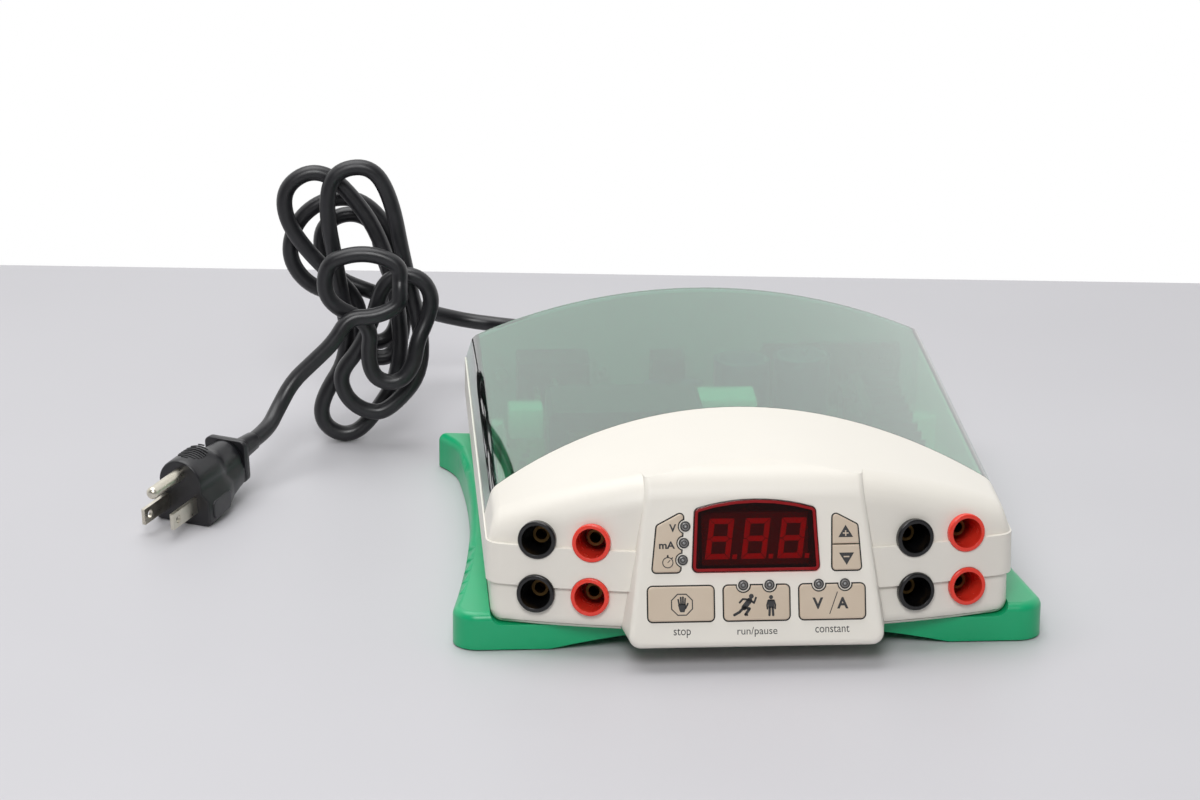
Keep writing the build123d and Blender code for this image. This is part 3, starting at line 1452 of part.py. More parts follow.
# Hank: one unbroken tube, front to back, its end runs one diameter long
stations = hank_stations()
stub = 2 * cord_radius
hank_front = stations[0][0] - stations[0][1] * stub
hank_back = stations[-1][0] + stations[-1][1] * stub
with BuildPart() as cord_hank:
    with BuildLine() as hank_line:
        Line(hank_front, stations[0][0])
        hank_radii = []
        for (start, heading), (end, end_heading) in zip(stations, stations[1:]):
            joint, joint_heading = biarc_joint(start, heading, end, end_heading)
            hank_radii.append(TangentArc(start, joint, tangent=heading).radius)
            hank_radii.append(TangentArc(joint, end, tangent=joint_heading).radius)
        Line(stations[-1][0], hank_back)
    with BuildSketch(Plane(origin=hank_front, z_dir=stations[0][1])):
        Circle(cord_radius)
    sweep()
save(cord_hank, "cord_hank")
hank_route = hank_line.wire()
hank_length = hank_route.length
error = cord_hank.part.volume / (math.pi * cord_radius**2 * hank_length) - 1
print("hank", round(hank_length, 1), "mm, volume", f"{error:+.2%}")
print("its least radius", round(min(hank_radii), 1))
samples = [hank_route @ (count / 1000) for count in range(1001)]
apart = math.ceil(math.pi * 2 * cord_radius / (hank_length / 1000))
gap = min((a - b).length for n, a in enumerate(samples) for b in samples[n + apart:]) - 2 * cord_radius
lowest = min(sample.Z for sample in samples) - cord_radius
print("its least gap to itself", round(gap, 2), "mm, lowest point", round(lowest, 2))

# Free stretches: from the inlet's connector to the hank, and from the hank to the plug
lead_start = end_beyond(connector_relief_plane)
lead_points = [
    lead_start,
    lead_start + Vector(0, 14.2, 0),
    Vector(-64.0, 197.0, 28.0),
    Vector(-75.0, 206.4, 26.5),
    Vector(-89.0, 209.8, 27.5),
    Vector(-102.6, 207.2, 31.5),
    Vector(-113.3, 199.6, 37.5),
    hank_back + stations[-1][1] * 13.5,
    hank_back,
]
save(free_tube(lead_points), "cord_lead")

plug_relief_end = end_beyond(plug_relief_plane)
plug_lead_points = [
    hank_front,
    hank_front - stations[0][1] * 11.3,
    Vector(-168.7, 103.4, 24.5),
    plug_relief_end - plug_axis * 11.3,
    plug_relief_end,
]
save(free_tube(plug_lead_points), "plug_lead")
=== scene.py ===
import math

import bmesh
import bpy
from mathutils import Matrix, Vector


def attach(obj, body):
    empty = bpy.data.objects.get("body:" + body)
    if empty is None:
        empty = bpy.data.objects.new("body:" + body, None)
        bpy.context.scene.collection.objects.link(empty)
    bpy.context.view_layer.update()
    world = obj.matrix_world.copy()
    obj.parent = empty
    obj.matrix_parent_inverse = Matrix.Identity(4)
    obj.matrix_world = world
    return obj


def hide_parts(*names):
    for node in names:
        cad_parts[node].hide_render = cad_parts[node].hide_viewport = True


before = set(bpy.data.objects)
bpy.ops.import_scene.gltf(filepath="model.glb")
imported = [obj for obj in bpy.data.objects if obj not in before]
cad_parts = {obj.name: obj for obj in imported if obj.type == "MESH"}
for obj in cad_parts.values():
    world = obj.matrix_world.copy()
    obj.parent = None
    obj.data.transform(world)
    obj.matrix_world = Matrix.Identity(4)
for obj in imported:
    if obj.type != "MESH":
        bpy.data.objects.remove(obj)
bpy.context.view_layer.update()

# The camera: a long lens on a tripod, a little left of the supply's middle and half a metre
# above the bench, looking down on the sloping front.
mm = 0.001
camera_place = Vector((-144.0, -1393.4, 517.5)) * mm
camera_down, camera_aside, camera_roll = (math.radians(turn) for turn in (18.134, 3.979, -0.417))
ahead = Vector((
    math.sin(camera_aside) * math.cos(camera_down),
    math.cos(camera_aside) * math.cos(camera_down),
    -math.sin(camera_down),
))
level = Vector((math.cos(camera_aside), -math.sin(camera_aside), 0.0))
rightward = level * math.cos(camera_roll) + ahead.cross(level) * math.sin(camera_roll)
upward = rightward.cross(ahead)
camera_data = bpy.data.cameras.new("bench_camera")
camera_data.sensor_width = 36.0
camera_data.lens = 118.06
camera = bpy.data.objects.new("bench_camera", camera_data)
camera.matrix_world = Matrix((
    (rightward.x, upward.x, -ahead.x, camera_place.x),
    (rightward.y, upward.y, -ahead.y, camera_place.y),
    (rightward.z, upward.z, -ahead.z, camera_place.z),
    (0, 0, 0, 1),
))
bpy.context.scene.collection.objects.link(camera)
bpy.context.scene.camera = camera
bpy.context.scene.view_settings.view_transform = "Standard"


# The bench: a plain pale laminate top, slightly uneven in tone, inside a white studio tent.
# One soft box hangs overhead and one stands high in front.
def linear(code):
    """An sRGB hex colour as linear red, green, blue and alpha."""
    parts = [int(code[at:at + 2], 16) / 255 for at in (1, 3, 5)]
    return (*[p / 12.92 if p <= 0.04045 else ((p + 0.055) / 1.055) ** 2.4 for p in parts], 1.0)


def add_node(tree, kind, links=None, **settings):
    """One node with its settings, and its sockets set to values or linked to other sockets."""
    made = tree.nodes.new(kind)
    for name, value in settings.items():
        setattr(made, name, value)
    for socket, value in (links or {}).items():
        if isinstance(value, bpy.types.NodeSocket):
            tree.links.new(value, made.inputs[socket])
        else:
            made.inputs[socket].default_value = value
    return made


def start_material(name):
    """A new material, its node tree, and the socket that gives each point's place on the object."""
    material = bpy.data.materials.new(name)
    material.use_nodes = True
    tree = material.node_tree
    tree.nodes.clear()
    return material, tree, add_node(tree, "ShaderNodeTexCoord").outputs["Object"]


def surface(tree, sockets, shadow=None):
    """Ends a material's tree with its surface. A clear one casts a shadow of its own tint."""
    face = add_node(tree, "ShaderNodeBsdfPrincipled", sockets)
    if shadow:
        through = add_node(tree, "ShaderNodeBsdfTransparent", {"Color": linear(shadow)})
        ray = add_node(tree, "ShaderNodeLightPath")
        face = add_node(tree, "ShaderNodeMixShader", {
            0: ray.outputs["Is Shadow Ray"], 1: face.outputs[0], 2: through.outputs[0]})
    add_node(tree, "ShaderNodeOutputMaterial", {0: face.outputs[0]})


def show(piece, body="root"):
    """Puts a piece made in this script into the scene, riding on a body."""
    bpy.context.scene.collection.objects.link(piece)
    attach(piece, body)
    return piece


laminate, tree, place = start_material("pale_laminate")
cloud = add_node(tree, "ShaderNodeTexNoise", {"Vector": place, "Scale": 6.0, "Detail": 2.0})
tone = add_node(tree, "ShaderNodeMix", {
    0: cloud.outputs["Fac"], 6: linear("#c6c5c9"), 7: linear("#cdccd0")}, data_type="RGBA")
surface(tree, {"Base Color": tone.outputs[2], "Roughness": 0.5})

# Its back edge runs where the photograph's horizon is, slightly askew to the supply
bench_half, bench_back, bench_front, bench_thick = 2.6, 0.368, -2.6, 0.03
bench_askew = math.radians(-5.6)
edge_way = Vector((math.cos(bench_askew), math.sin(bench_askew), 0))
side_way = Vector((-edge_way.y, edge_way.x, 0))
corners = [edge_way * x + side_way * y for x, y in (
    (-bench_half, bench_front), (bench_half, bench_front), (bench_half, bench_back),
    (-bench_half, bench_back))]
bench_mesh = bpy.data.meshes.new("bench_top")
bench_mesh.from_pydata(
    [(*c.xy, -bench_thick) for c in corners] + [(*c.xy, 0) for c in corners], [],
    [(3, 2, 1, 0), (4, 5, 6, 7), (0, 1, 5, 4), (1, 2, 6, 5), (2, 3, 7, 6), (3, 0, 4, 7)])
bench_mesh.materials.append(laminate)
bench_top = bpy.data.objects.new("bench_top", bench_mesh)
bpy.context.scene.collection.objects.link(bench_top)

# The tent is white behind and dims towards the camera, where the dark of the room comes in
tent = bpy.data.worlds.new("white_tent")
tent.use_nodes = True
tree = tent.node_tree
tree.nodes.clear()
bpy.context.scene.world = tent
way = add_node(tree, "ShaderNodeTexCoord")
parts = add_node(tree, "ShaderNodeSeparateXYZ", {0: way.outputs["Generated"]})
room_dark, tent_on_matt_faces = 0.16, 0.45
depth = add_node(tree, "ShaderNodeMapRange", {
    0: parts.outputs["Y"], 1: -0.45, 2: 0.25, 3: room_dark, 4: 1.0})
ray = add_node(tree, "ShaderNodeLightPath")
mirrored = add_node(tree, "ShaderNodeMath", {
    0: ray.outputs["Is Glossy Ray"], 1: ray.outputs["Is Transmission Ray"]}, operation="MAXIMUM")
mirrored = add_node(tree, "ShaderNodeMapRange", {
    0: mirrored.outputs[0], 3: tent_on_matt_faces, 4: 1.0})
strength = add_node(tree, "ShaderNodeMath", {0: mirrored.outputs[0], 1: depth.outputs[0]},
                    operation="MULTIPLY")
strength = add_node(tree, "ShaderNodeMath", {0: strength.outputs[0], 1: ray.outputs["Is Camera Ray"]},
                    operation="MAXIMUM")
glow = add_node(tree, "ShaderNodeBackground", {
    "Color": linear("#ffffff"), "Strength": strength.outputs[0]})
add_node(tree, "ShaderNodeOutputWorld", {0: glow.outputs[0]})

lamps_aim = Vector((0.0, 0.0, 0.05))
for lamp_name, lamp_place, side, power in (
    ("overhead_box", Vector((-0.30, 0.25, 1.5)), 1.3, 15.5),
    ("front_fill", Vector((-0.3, -1.7, 1.55)), 0.9, 25.0),
):
    lamp_data = bpy.data.lights.new(lamp_name, "AREA")
    lamp_data.size = side
    lamp_data.energy = power
    lamp = bpy.data.objects.new(lamp_name, lamp_data)
    lamp.location = lamp_place
    lamp.rotation_euler = (lamps_aim - lamp_place).to_track_quat("-Z", "Y").to_euler()
    bpy.context.scene.collection.objects.link(lamp)


# The mains cord: three cores in a round black vinyl jacket 6.5 mm thick, 1.2 m from the
# inlet's connector to the plug. It is bundled in a loose hank that stands behind the case.
cord_thick = 6.5
hank_middle_x, hank_front_y, hank_lean = -134.0, 106.0, math.radians(6.0)
hank_start = (-16.0, 46.0, 43.0)
hank_end, hank_end_depth, hank_end_rise = (11.0, 57.0, 315.0), 57.5, 3.2
# Bights, front to back: tip across, tip up, direction it points in, half width, length of its
# sides, depth, and depth gained round it
hank_bights = [
    (-0.5, 59.4, 270, 15.0, 9.6, 1.8, 2.6), (-0.4, 84.2, 90, 15.0, 9.6, 5.9, 2.6),
    (9.5, 31.0, 262, 9.5, 13.0, 10.5, 1.3), (19.5, 73.7, 75, 10.5, 11.0, 14.6, 1.3),
    (-4.0, 20.3, 230, 13.0, 11.0, 19.1, 1.3), (-4.0, 116.4, 100, 13.5, 22.0, 23.2, 1.3),
    (-13.0, 7.9, 237, 11.0, 14.0, 27.3, 1.3), (-26.0, 111.0, 125, 14.0, 18.0, 31.4, 1.3),
    (6.0, 36.0, 265, 9.0, 11.0, 35.5, 1.3), (-21.0, 97.0, 128, 20.0, 18.0, 39.6, 1.3),
    (5.0, 41.0, 268, 9.0, 11.0, 43.7, 1.3), (-7.0, 93.3, 100, 12.0, 11.0, 47.8, 1.3),
]


def hank_place(across, up, depth):
    """A point of the hank, across and up its leaning front and into its depth."""
    y = hank_front_y + up * math.sin(hank_lean) + depth * math.cos(hank_lean)
    return Vector((hank_middle_x + across, y, up * math.cos(hank_lean) - depth * math.sin(hank_lean)))


def hank_heading(degrees, rise=0.04):
    """Direction of the cord in the hank, turned from the right, and its rise into the depth."""
    turn = math.radians(degrees)
    return (hank_place(math.cos(turn), math.sin(turn), rise) - hank_place(0, 0, 0)).normalized()


hank_stations = [(hank_place(*hank_start[:2], 0), hank_heading(hank_start[2]))]
for across, up, points, half, side, depth, gain in hank_bights:
    along = Vector((math.cos(math.radians(points)), math.sin(math.radians(points))))
    sideways = Vector((-along.y, along.x))
    foot = Vector((across, up)) - along * side
    into, out = foot - sideways * half, foot + sideways * half
    if len(hank_stations) > 1:
        hank_stations.append((hank_place(*into, depth - gain / 2), hank_heading(points)))
    hank_stations.append((hank_place(across, up, depth), hank_heading(points + 90)))
    hank_stations.append((hank_place(*out, depth + gain / 2), hank_heading(points + 180)))
hank_stations.append((
    hank_place(*hank_end[:2], hank_end_depth), hank_heading(hank_end[2], hank_end_rise)))

# Two points for every stretch between stations, on the headings at its two ends: twelve a turn
hank_points = []
for (start, heading), (end, end_heading) in zip(hank_stations, hank_stations[1:]):
    way, both = end - start, heading + end_heading
    spread = 2 * (1 - heading.dot(end_heading)) * way.length_squared
    reach = way.length_squared / (math.sqrt(way.dot(both) ** 2 + spread) + way.dot(both))
    hank_points += [start + heading * reach, end - end_heading * reach]

hank_front = hank_stations[0][0] - hank_stations[0][1] * cord_thick
hank_back = hank_stations[-1][0] + hank_stations[-1][1] * cord_thick
plug_turn, plug_dip = math.radians(-120.0), math.radians(5.0)
plug_axis = Vector((math.cos(plug_turn), math.sin(plug_turn), -math.tan(plug_dip))).normalized()
plug_front = Vector((-205.5, 37.4, 13.0))
plug_body_length, plug_shoulder, relief_length = 22.0, 12.0, 20.0
plug_relief_end = plug_front - plug_axis * (plug_body_length + plug_shoulder + relief_length)
lead_start = Vector((-58.0, 169.6, 31.0))
lead_points = [
    lead_start,
    lead_start + Vector((0.0, 14.2, 0.0)),
    Vector((-64.0, 197.0, 28.0)),
    Vector((-75.0, 206.4, 26.5)),
    Vector((-89.0, 209.8, 27.5)),
    Vector((-102.6, 207.2, 31.5)),
    Vector((-113.3, 199.6, 37.5)),
    hank_back + hank_stations[-1][1] * 13.5,
    hank_back,
]
plug_lead_points = [
    hank_front,
    hank_front - hank_stations[0][1] * 11.3,
    Vector((-168.7, 103.4, 24.5)),
    plug_relief_end - plug_axis * 11.3,
    plug_relief_end,
]
cord_points = lead_points + hank_points[::-1] + plug_lead_points

# Black vinyl, extruded hot: a dull soft gloss that turns grey where dust and handling film it
vinyl, tree, place = start_material("black_vinyl")
film = add_node(tree, "ShaderNodeTexNoise", {
    "Vector": place, "Scale": 1 / (9 * mm), "Detail": 4.0, "Roughness": 0.65})
tone = add_node(tree, "ShaderNodeMix", {
    0: film.outputs["Fac"], 6: linear("#0d0d10"), 7: linear("#26262a")}, data_type="RGBA")
shine = add_node(tree, "ShaderNodeMapRange", {0: film.outputs["Fac"], 1: 0.3, 2: 0.7, 3: 0.28, 4: 0.44})
grain = add_node(tree, "ShaderNodeTexNoise", {
    "Vector": place, "Scale": 1 / (0.7 * mm), "Detail": 2.0})
bump = add_node(tree, "ShaderNodeBump", {
    "Height": grain.outputs["Fac"], "Strength": 0.12, "Distance": 0.1 * mm})
surface(tree, {
    "Base Color": tone.outputs[2], "Roughness": shine.outputs[0], "Normal": bump.outputs[0], "IOR": 1.53})

cord_curve = bpy.data.curves.new("mains_cord", "CURVE")
cord_curve.dimensions = "3D"
cord_line = cord_curve.splines.new("NURBS")
cord_line.points.add(len(cord_points) - 1)
for point, at in zip(cord_line.points, cord_points):
    point.co = (*(at * mm), 1.0)
cord_line.order_u = 3
cord_line.use_endpoint_u = True
cord_line.resolution_u = 8
cord_curve.bevel_depth = cord_thick / 2 * mm
cord_curve.bevel_resolution = 6
cord_curve.use_fill_caps = True
cord_curve.materials.append(vinyl)
mains_cord = show(bpy.data.objects.new("mains_cord", cord_curve))
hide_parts("cord_lead", "cord_hank", "plug_lead")


# The plug: vinyl moulded over the blades in one shot with the cord. Its top is a half-round hood
# with an oval of grip ribs for the thumb, and a square collar and a tapered neck end it.
def dress(node_names, material):
    """Gives CAD nodes a finish in place of their plain one."""
    for name in node_names:
        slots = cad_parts[name].data.materials
        slots.clear()
        slots.append(material)


def skin(name, rings, material):
    """A closed skin through rings of points, with a fan of faces over each end."""
    made = bmesh.new()
    rows = [[made.verts.new(Vector(point) * mm) for point in ring] for ring in rings]
    count = len(rows[0])
    for row, following in zip(rows, rows[1:]):
        for at in range(count):
            ahead_at = (at + 1) % count
            made.faces.new((row[at], row[ahead_at], following[ahead_at], following[at]))
    made.faces.new(rows[0][::-1])
    made.faces.new(rows[-1])
    bmesh.ops.recalc_face_normals(made, faces=made.faces)
    mesh = bpy.data.meshes.new(name)
    made.to_mesh(mesh)
    made.free()
    mesh.materials.append(material)
    for polygon in mesh.polygons:
        polygon.use_smooth = len(polygon.vertices) == 4
    return bpy.data.objects.new(name, mesh)


plug_across = plug_axis.cross(Vector((0, 0, 1))).normalized()
plug_up = plug_across.cross(plug_axis).normalized()


def plug_point(back, x, z):
    """A point of the plug, back from its front face, across it and up from the blades' middle."""
    return plug_front - plug_axis * back + plug_across * x + plug_up * z


def plug_ring(back, thumb, top, half, foot):
    """One section of the plug: a round hood over the ground pin on a broader square base."""
    ring = [(thumb * math.cos(math.pi * step / 24), top - thumb + thumb * math.sin(math.pi * step / 24))
            for step in range(25)]
    ring += [(-thumb - 0.15, 0.3), (-half, -2.4)]
    corner = 2.6
    for centre_x, from_turn in ((-half + corner, math.pi), (half - corner, 1.5 * math.pi)):
        for step in range(6):
            turn = from_turn + math.pi / 2 * step / 5
            ring.append((centre_x + corner * math.cos(turn), -foot + corner + corner * math.sin(turn)))
    ring += [(half, -2.4), (thumb + 0.15, 0.3)]
    return [plug_point(back, x, z) for x, z in ring]


# Back from the front face: hood radius and height, base half width and depth
plug_sections = [
    (0.0, 8.9, 12.3, 11.9, 12.3), (0.25, 9.2, 12.7, 12.3, 12.7), (0.8, 9.3, 12.9, 12.45, 12.9),
    (4.0, 9.4, 12.95, 12.45, 12.9), (10.0, 9.4, 12.9, 12.3, 12.7), (14.0, 9.3, 12.6, 12.0, 12.3),
    (17.0, 9.0, 11.9, 11.6, 11.8), (19.0, 8.5, 10.9, 11.2, 11.3), (20.3, 8.0, 9.9, 10.9, 10.9),
    (21.2, 7.9, 9.2, 10.6, 10.6), (21.9, 7.9, 8.8, 10.4, 10.3), (24.0, 7.9, 8.6, 10.1, 9.9),
    (28.0, 7.9, 8.5, 9.5, 9.3), (32.0, 7.8, 8.4, 9.0, 8.8), (34.0, 7.7, 8.3, 8.8, 8.6),
]
plug_shell = show(skin("plug_shell", [plug_ring(*section) for section in plug_sections], vinyl))
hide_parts("plug_body")


def set_up_tree(name, sizes):
    """An empty geometry tree with a named input for every size, and its two end nodes."""
    tree = bpy.data.node_groups.new(name, "GeometryNodeTree")
    tree.interface.new_socket("Start", in_out="INPUT", socket_type="NodeSocketGeometry")
    for label, value in sizes.items():
        kind = "NodeSocketInt" if isinstance(value, int) else "NodeSocketFloat"
        tree.interface.new_socket(label, in_out="INPUT", socket_type=kind)
    tree.interface.new_socket("Geometry", in_out="OUTPUT", socket_type="NodeSocketGeometry")
    return tree, add_node(tree, "NodeGroupInput"), add_node(tree, "NodeGroupOutput")


def grow(name, tree, sizes, seat, start=None):
    """The tree's result as a plain mesh piece, moved to its seat on the object. The tree may
    start from a mesh."""
    holder = bpy.data.objects.new("holder", start or bpy.data.meshes.new("nothing"))
    bpy.context.scene.collection.objects.link(holder)
    modifier = holder.modifiers.new(name, "NODES")
    modifier.node_group = tree
    for item in tree.interface.items_tree:
        if item.name in sizes:
            modifier[item.identifier] = sizes[item.name]
    solved = holder.evaluated_get(bpy.context.evaluated_depsgraph_get())
    mesh = bpy.data.meshes.new_from_object(solved)
    mesh.name = name
    bpy.data.objects.remove(holder)
    mesh.transform(seat)
    return bpy.data.objects.new(name, mesh)


# Nine ribs across the plug's round back, each as long as the oval is wide there
rib_sizes = {"Ribs": 9, "Half length": 6.2 * mm, "Half turn": math.radians(33.0),
             "Round": 9.5 * mm, "Rib": 0.3 * mm}
tree, given, result = set_up_tree("thumb_ribs", rib_sizes)
bottom_end = add_node(tree, "ShaderNodeMath", {0: given.outputs["Half length"], 1: -1.0},
                      operation="MULTIPLY")
first_rib = add_node(tree, "ShaderNodeCombineXYZ", {"Y": bottom_end.outputs[0]})
last_rib = add_node(tree, "ShaderNodeCombineXYZ", {"Y": given.outputs["Half length"]})
rib_rows = add_node(tree, "GeometryNodeMeshLine", {
    "Count": given.outputs["Ribs"], "Start Location": first_rib.outputs[0],
    "Offset": last_rib.outputs[0]}, mode="END_POINTS", count_mode="TOTAL")
rib_line = add_node(tree, "GeometryNodeCurvePrimitiveLine", {"Start": (-1, 0, 0), "End": (1, 0, 0)})
rib_points = add_node(tree, "GeometryNodeResampleCurve", {"Curve": rib_line.outputs[0], "Count": 9})
rib_copies = add_node(tree, "GeometryNodeInstanceOnPoints", {
    "Points": rib_rows.outputs[0], "Instance": rib_points.outputs[0]})
rib_copies = add_node(tree, "GeometryNodeRealizeInstances", {0: rib_copies.outputs[0]})
position = add_node(tree, "GeometryNodeInputPosition")
parts = add_node(tree, "ShaderNodeSeparateXYZ", {0: position.outputs[0]})
share = add_node(tree, "ShaderNodeMath", {
    0: parts.outputs["Y"], 1: given.outputs["Half length"]}, operation="DIVIDE")
squared = add_node(tree, "ShaderNodeMath", {0: share.outputs[0], 1: share.outputs[0]},
                   operation="MULTIPLY")
left_over = add_node(tree, "ShaderNodeMath", {0: 1.06, 1: squared.outputs[0]}, operation="SUBTRACT")
width = add_node(tree, "ShaderNodeMath", {0: left_over.outputs[0]}, operation="SQRT")
turn = add_node(tree, "ShaderNodeMath", {0: width.outputs[0], 1: given.outputs["Half turn"]},
                operation="MULTIPLY")
turn = add_node(tree, "ShaderNodeMath", {0: turn.outputs[0], 1: parts.outputs["X"]},
                operation="MULTIPLY")
over = add_node(tree, "ShaderNodeMath", {0: turn.outputs[0]}, operation="SINE")
over = add_node(tree, "ShaderNodeMath", {0: over.outputs[0], 1: given.outputs["Round"]},
                operation="MULTIPLY")
height = add_node(tree, "ShaderNodeMath", {0: turn.outputs[0]}, operation="COSINE")
height = add_node(tree, "ShaderNodeMath", {0: height.outputs[0], 1: given.outputs["Round"]},
                  operation="MULTIPLY")
bent = add_node(tree, "ShaderNodeCombineXYZ", {
    "X": over.outputs[0], "Y": parts.outputs["Y"], "Z": height.outputs[0]})
bent = add_node(tree, "GeometryNodeSetPosition", {0: rib_copies.outputs[0], "Position": bent.outputs[0]})
rib_section = add_node(tree, "GeometryNodeCurvePrimitiveCircle", {
    "Resolution": 6, "Radius": given.outputs["Rib"]})
rib_tubes = add_node(tree, "GeometryNodeCurveToMesh", {
    0: bent.outputs[0], 1: rib_section.outputs[0], "Fill Caps": True})
rib_tubes = add_node(tree, "GeometryNodeRealizeInstances", {0: rib_tubes.outputs[0]})
rib_tubes = add_node(tree, "GeometryNodeSetMaterial", {0: rib_tubes.outputs[0], "Material": vinyl})
tree.links.new(rib_tubes.outputs[0], result.inputs[0])
# The middle of the oval is on the axis of the hood's round back
rib_seat = plug_point(10.8, 0, 3.5)
plug_ribs = show(grow("plug_ribs", tree, rib_sizes, Matrix((
    (plug_across.x, -plug_axis.x, plug_up.x, rib_seat.x * mm),
    (plug_across.y, -plug_axis.y, plug_up.y, rib_seat.y * mm),
    (plug_across.z, -plug_axis.z, plug_up.z, rib_seat.z * mm),
    (0, 0, 0, 1),
))))


def rounded(corners, radius, grown=0.0):
    """A convex outline with round corners, grown by an edge all round."""
    outline = []
    count = len(corners)
    for at in range(count):
        here = Vector(corners[at])
        back = (Vector(corners[at - 1]) - here).normalized()
        on = (Vector(corners[(at + 1) % count]) - here).normalized()
        half = back.angle(on) / 2
        centre = here + (back + on).normalized() * (radius / math.sin(half))
        first = here + back * (radius / math.tan(half)) - centre
        last = here + on * (radius / math.tan(half)) - centre
        from_turn = math.atan2(first.y, first.x)
        swing = (math.atan2(last.y, last.x) - from_turn + math.pi) % math.tau - math.pi
        for step in range(6):
            turn = from_turn + swing * step / 5
            outline.append((centre.x + (radius + grown) * math.cos(turn),
                            centre.y + (radius + grown) * math.sin(turn)))
    return outline


def box_corners(x, y, width, height):
    """The corners of an upright rectangle about its middle."""
    return [(x - width / 2, y - height / 2), (x + width / 2, y - height / 2),
            (x + width / 2, y + height / 2), (x - width / 2, y + height / 2)]


# The neck behind the plug: a square collar in two steps, then a plain sleeve that tapers to the
# cord. Back from the front face: width, height and the corners' radius
neck_sections = [
    (33.4, 17.4, 16.6, 2.2), (33.7, 18.2, 17.4, 2.4), (36.4, 18.0, 17.2, 2.4), (36.7, 17.2, 16.4, 2.2),
    (36.8, 12.8, 12.4, 2.6), (39.6, 11.8, 11.6, 3.0), (40.0, 11.0, 10.8, 3.2), (40.1, 9.7, 9.7, 4.7),
    (42.0, 9.2, 9.2, 4.5), (46.0, 8.5, 8.5, 4.15), (50.0, 7.9, 7.9, 3.85), (53.4, 7.4, 7.4, 3.6),
    (54.0, 6.9, 6.9, 3.35),
]
plug_neck = show(skin("plug_neck", [
    [plug_point(back, x, z) for x, z in rounded(box_corners(0, 0, wide, high), corner)]
    for back, wide, high, corner in neck_sections], vinyl))
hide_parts("plug_relief")

# A raised pad on each side of the base, for finger and thumb
for side in (-1, 1):
    rings = [[plug_point(back, side * (out - 0.055 * back), z)
              for back, z in rounded(box_corners(9.6, -7.0, 13.6 - 2 * inset, 7.6 - 2 * inset), 1.8)]
             for out, inset in ((12.0, 0.0), (13.0, 0.05), (13.3, 0.35))]
    show(skin(f"plug_pad_{'left' if side < 0 else 'right'}", rings, vinyl))
dress(["cord_connector", "connector_relief"], vinyl)


def metal(name, low, high, spot, shine_low, shine_high, metallic=1.0):
    """A metal whose tone and gloss wander over spot millimetres, as handling and plating leave it."""
    material, tree, place = start_material(name)
    wander = add_node(tree, "ShaderNodeTexNoise", {
        "Vector": place, "Scale": 1 / (spot * mm), "Detail": 2.5})
    tone = add_node(tree, "ShaderNodeMix", {
        0: wander.outputs["Fac"], 6: linear(low), 7: linear(high)}, data_type="RGBA")
    shine = add_node(tree, "ShaderNodeMapRange", {
        0: wander.outputs["Fac"], 1: 0.3, 2: 0.7, 3: shine_low, 4: shine_high})
    surface(tree, {
        "Base Color": tone.outputs[2], "Metallic": metallic, "Roughness": shine.outputs[0]})
    return material


# Nickel-plated brass, stamped and tumbled: a warm bright metal, softly rubbed
nickel = metal("nickel_plated_brass", "#c9c3b2", "#dedacf", 4, 0.26, 0.38)
dress(["plug_blades", "ground_pin", "inlet_pins"], nickel)


# The tray: one green ABS moulding with four splayed feet and an arched underside. The case
# drops into its channel and four screws hold it from below, in the middle of rubber pads.
def moulded(name, low, high, blotch, shine_low, shine_high, grain_size, grain_depth, ior=1.53):
    """A moulded plastic: its tone and gloss wander over blotch millimetres, the tool's texture
    is grain_size by grain_depth millimetres, and its edges are softly broken."""
    material, tree, place = start_material(name)
    wander = add_node(tree, "ShaderNodeTexNoise", {
        "Vector": place, "Scale": 1 / (blotch * mm), "Detail": 3.0, "Roughness": 0.6})
    tone = add_node(tree, "ShaderNodeMix", {
        0: wander.outputs["Fac"], 6: linear(low), 7: linear(high)}, data_type="RGBA")
    shine = add_node(tree, "ShaderNodeMapRange", {
        0: wander.outputs["Fac"], 1: 0.3, 2: 0.7, 3: shine_low, 4: shine_high})
    grain = add_node(tree, "ShaderNodeTexNoise", {
        "Vector": place, "Scale": 1 / (grain_size * mm), "Detail": 2.0})
    edge = add_node(tree, "ShaderNodeBevel", {"Radius": 0.3 * mm}, samples=4)
    bump = add_node(tree, "ShaderNodeBump", {
        "Height": grain.outputs["Fac"], "Strength": 0.5, "Distance": grain_depth * mm,
        "Normal": edge.outputs[0]})
    surface(tree, {
        "Base Color": tone.outputs[2], "Roughness": shine.outputs[0],
        "Normal": bump.outputs[0], "IOR": ior})
    return material


# The tool's spark texture is near 0.2 mm on the real one, drawn at 0.8 mm so that it shows
green_abs = moulded("green_ABS", "#05a56c", "#0ab277", 30, 0.3, 0.38, 0.8, 0.02)
dress(["base_tray"], green_abs)
pad_rubber = moulded("black_nitrile_rubber", "#17171a", "#232326", 4, 0.7, 0.85, 0.6, 0.05)
dress(["foot_pads"], pad_rubber)

# Zinc-plated steel screws, rolled and plated bright: pan heads below, small ones inside
zinc = metal("zinc_plated_steel", "#a9adb0", "#c8cbcd", 1.5, 0.25, 0.42)
dress(["housing_screws", "front_board_screws", "board_screws", "inlet_screws"], zinc)


# The white case: two ABS shells that meet in a fine seam, the upper one with the arched brow,
# the belt round the sides and the control pod, moulded in a satin texture.
white_abs = moulded("white_ABS", "#e9e4da", "#efebe2", 45, 0.34, 0.44, 0.8, 0.02)
dress(["upper_housing", "lower_housing"], white_abs)


# The grey rear panel: a flat ABS moulding with a coarser matt texture than the case's. It is
# slid into the shells' grooves from above and carries the mains fittings and the vent slots.
grey_abs = moulded("grey_ABS", "#8f9294", "#999c9e", 20, 0.5, 0.62, 1.1, 0.05)
dress(["rear_panel"], grey_abs)


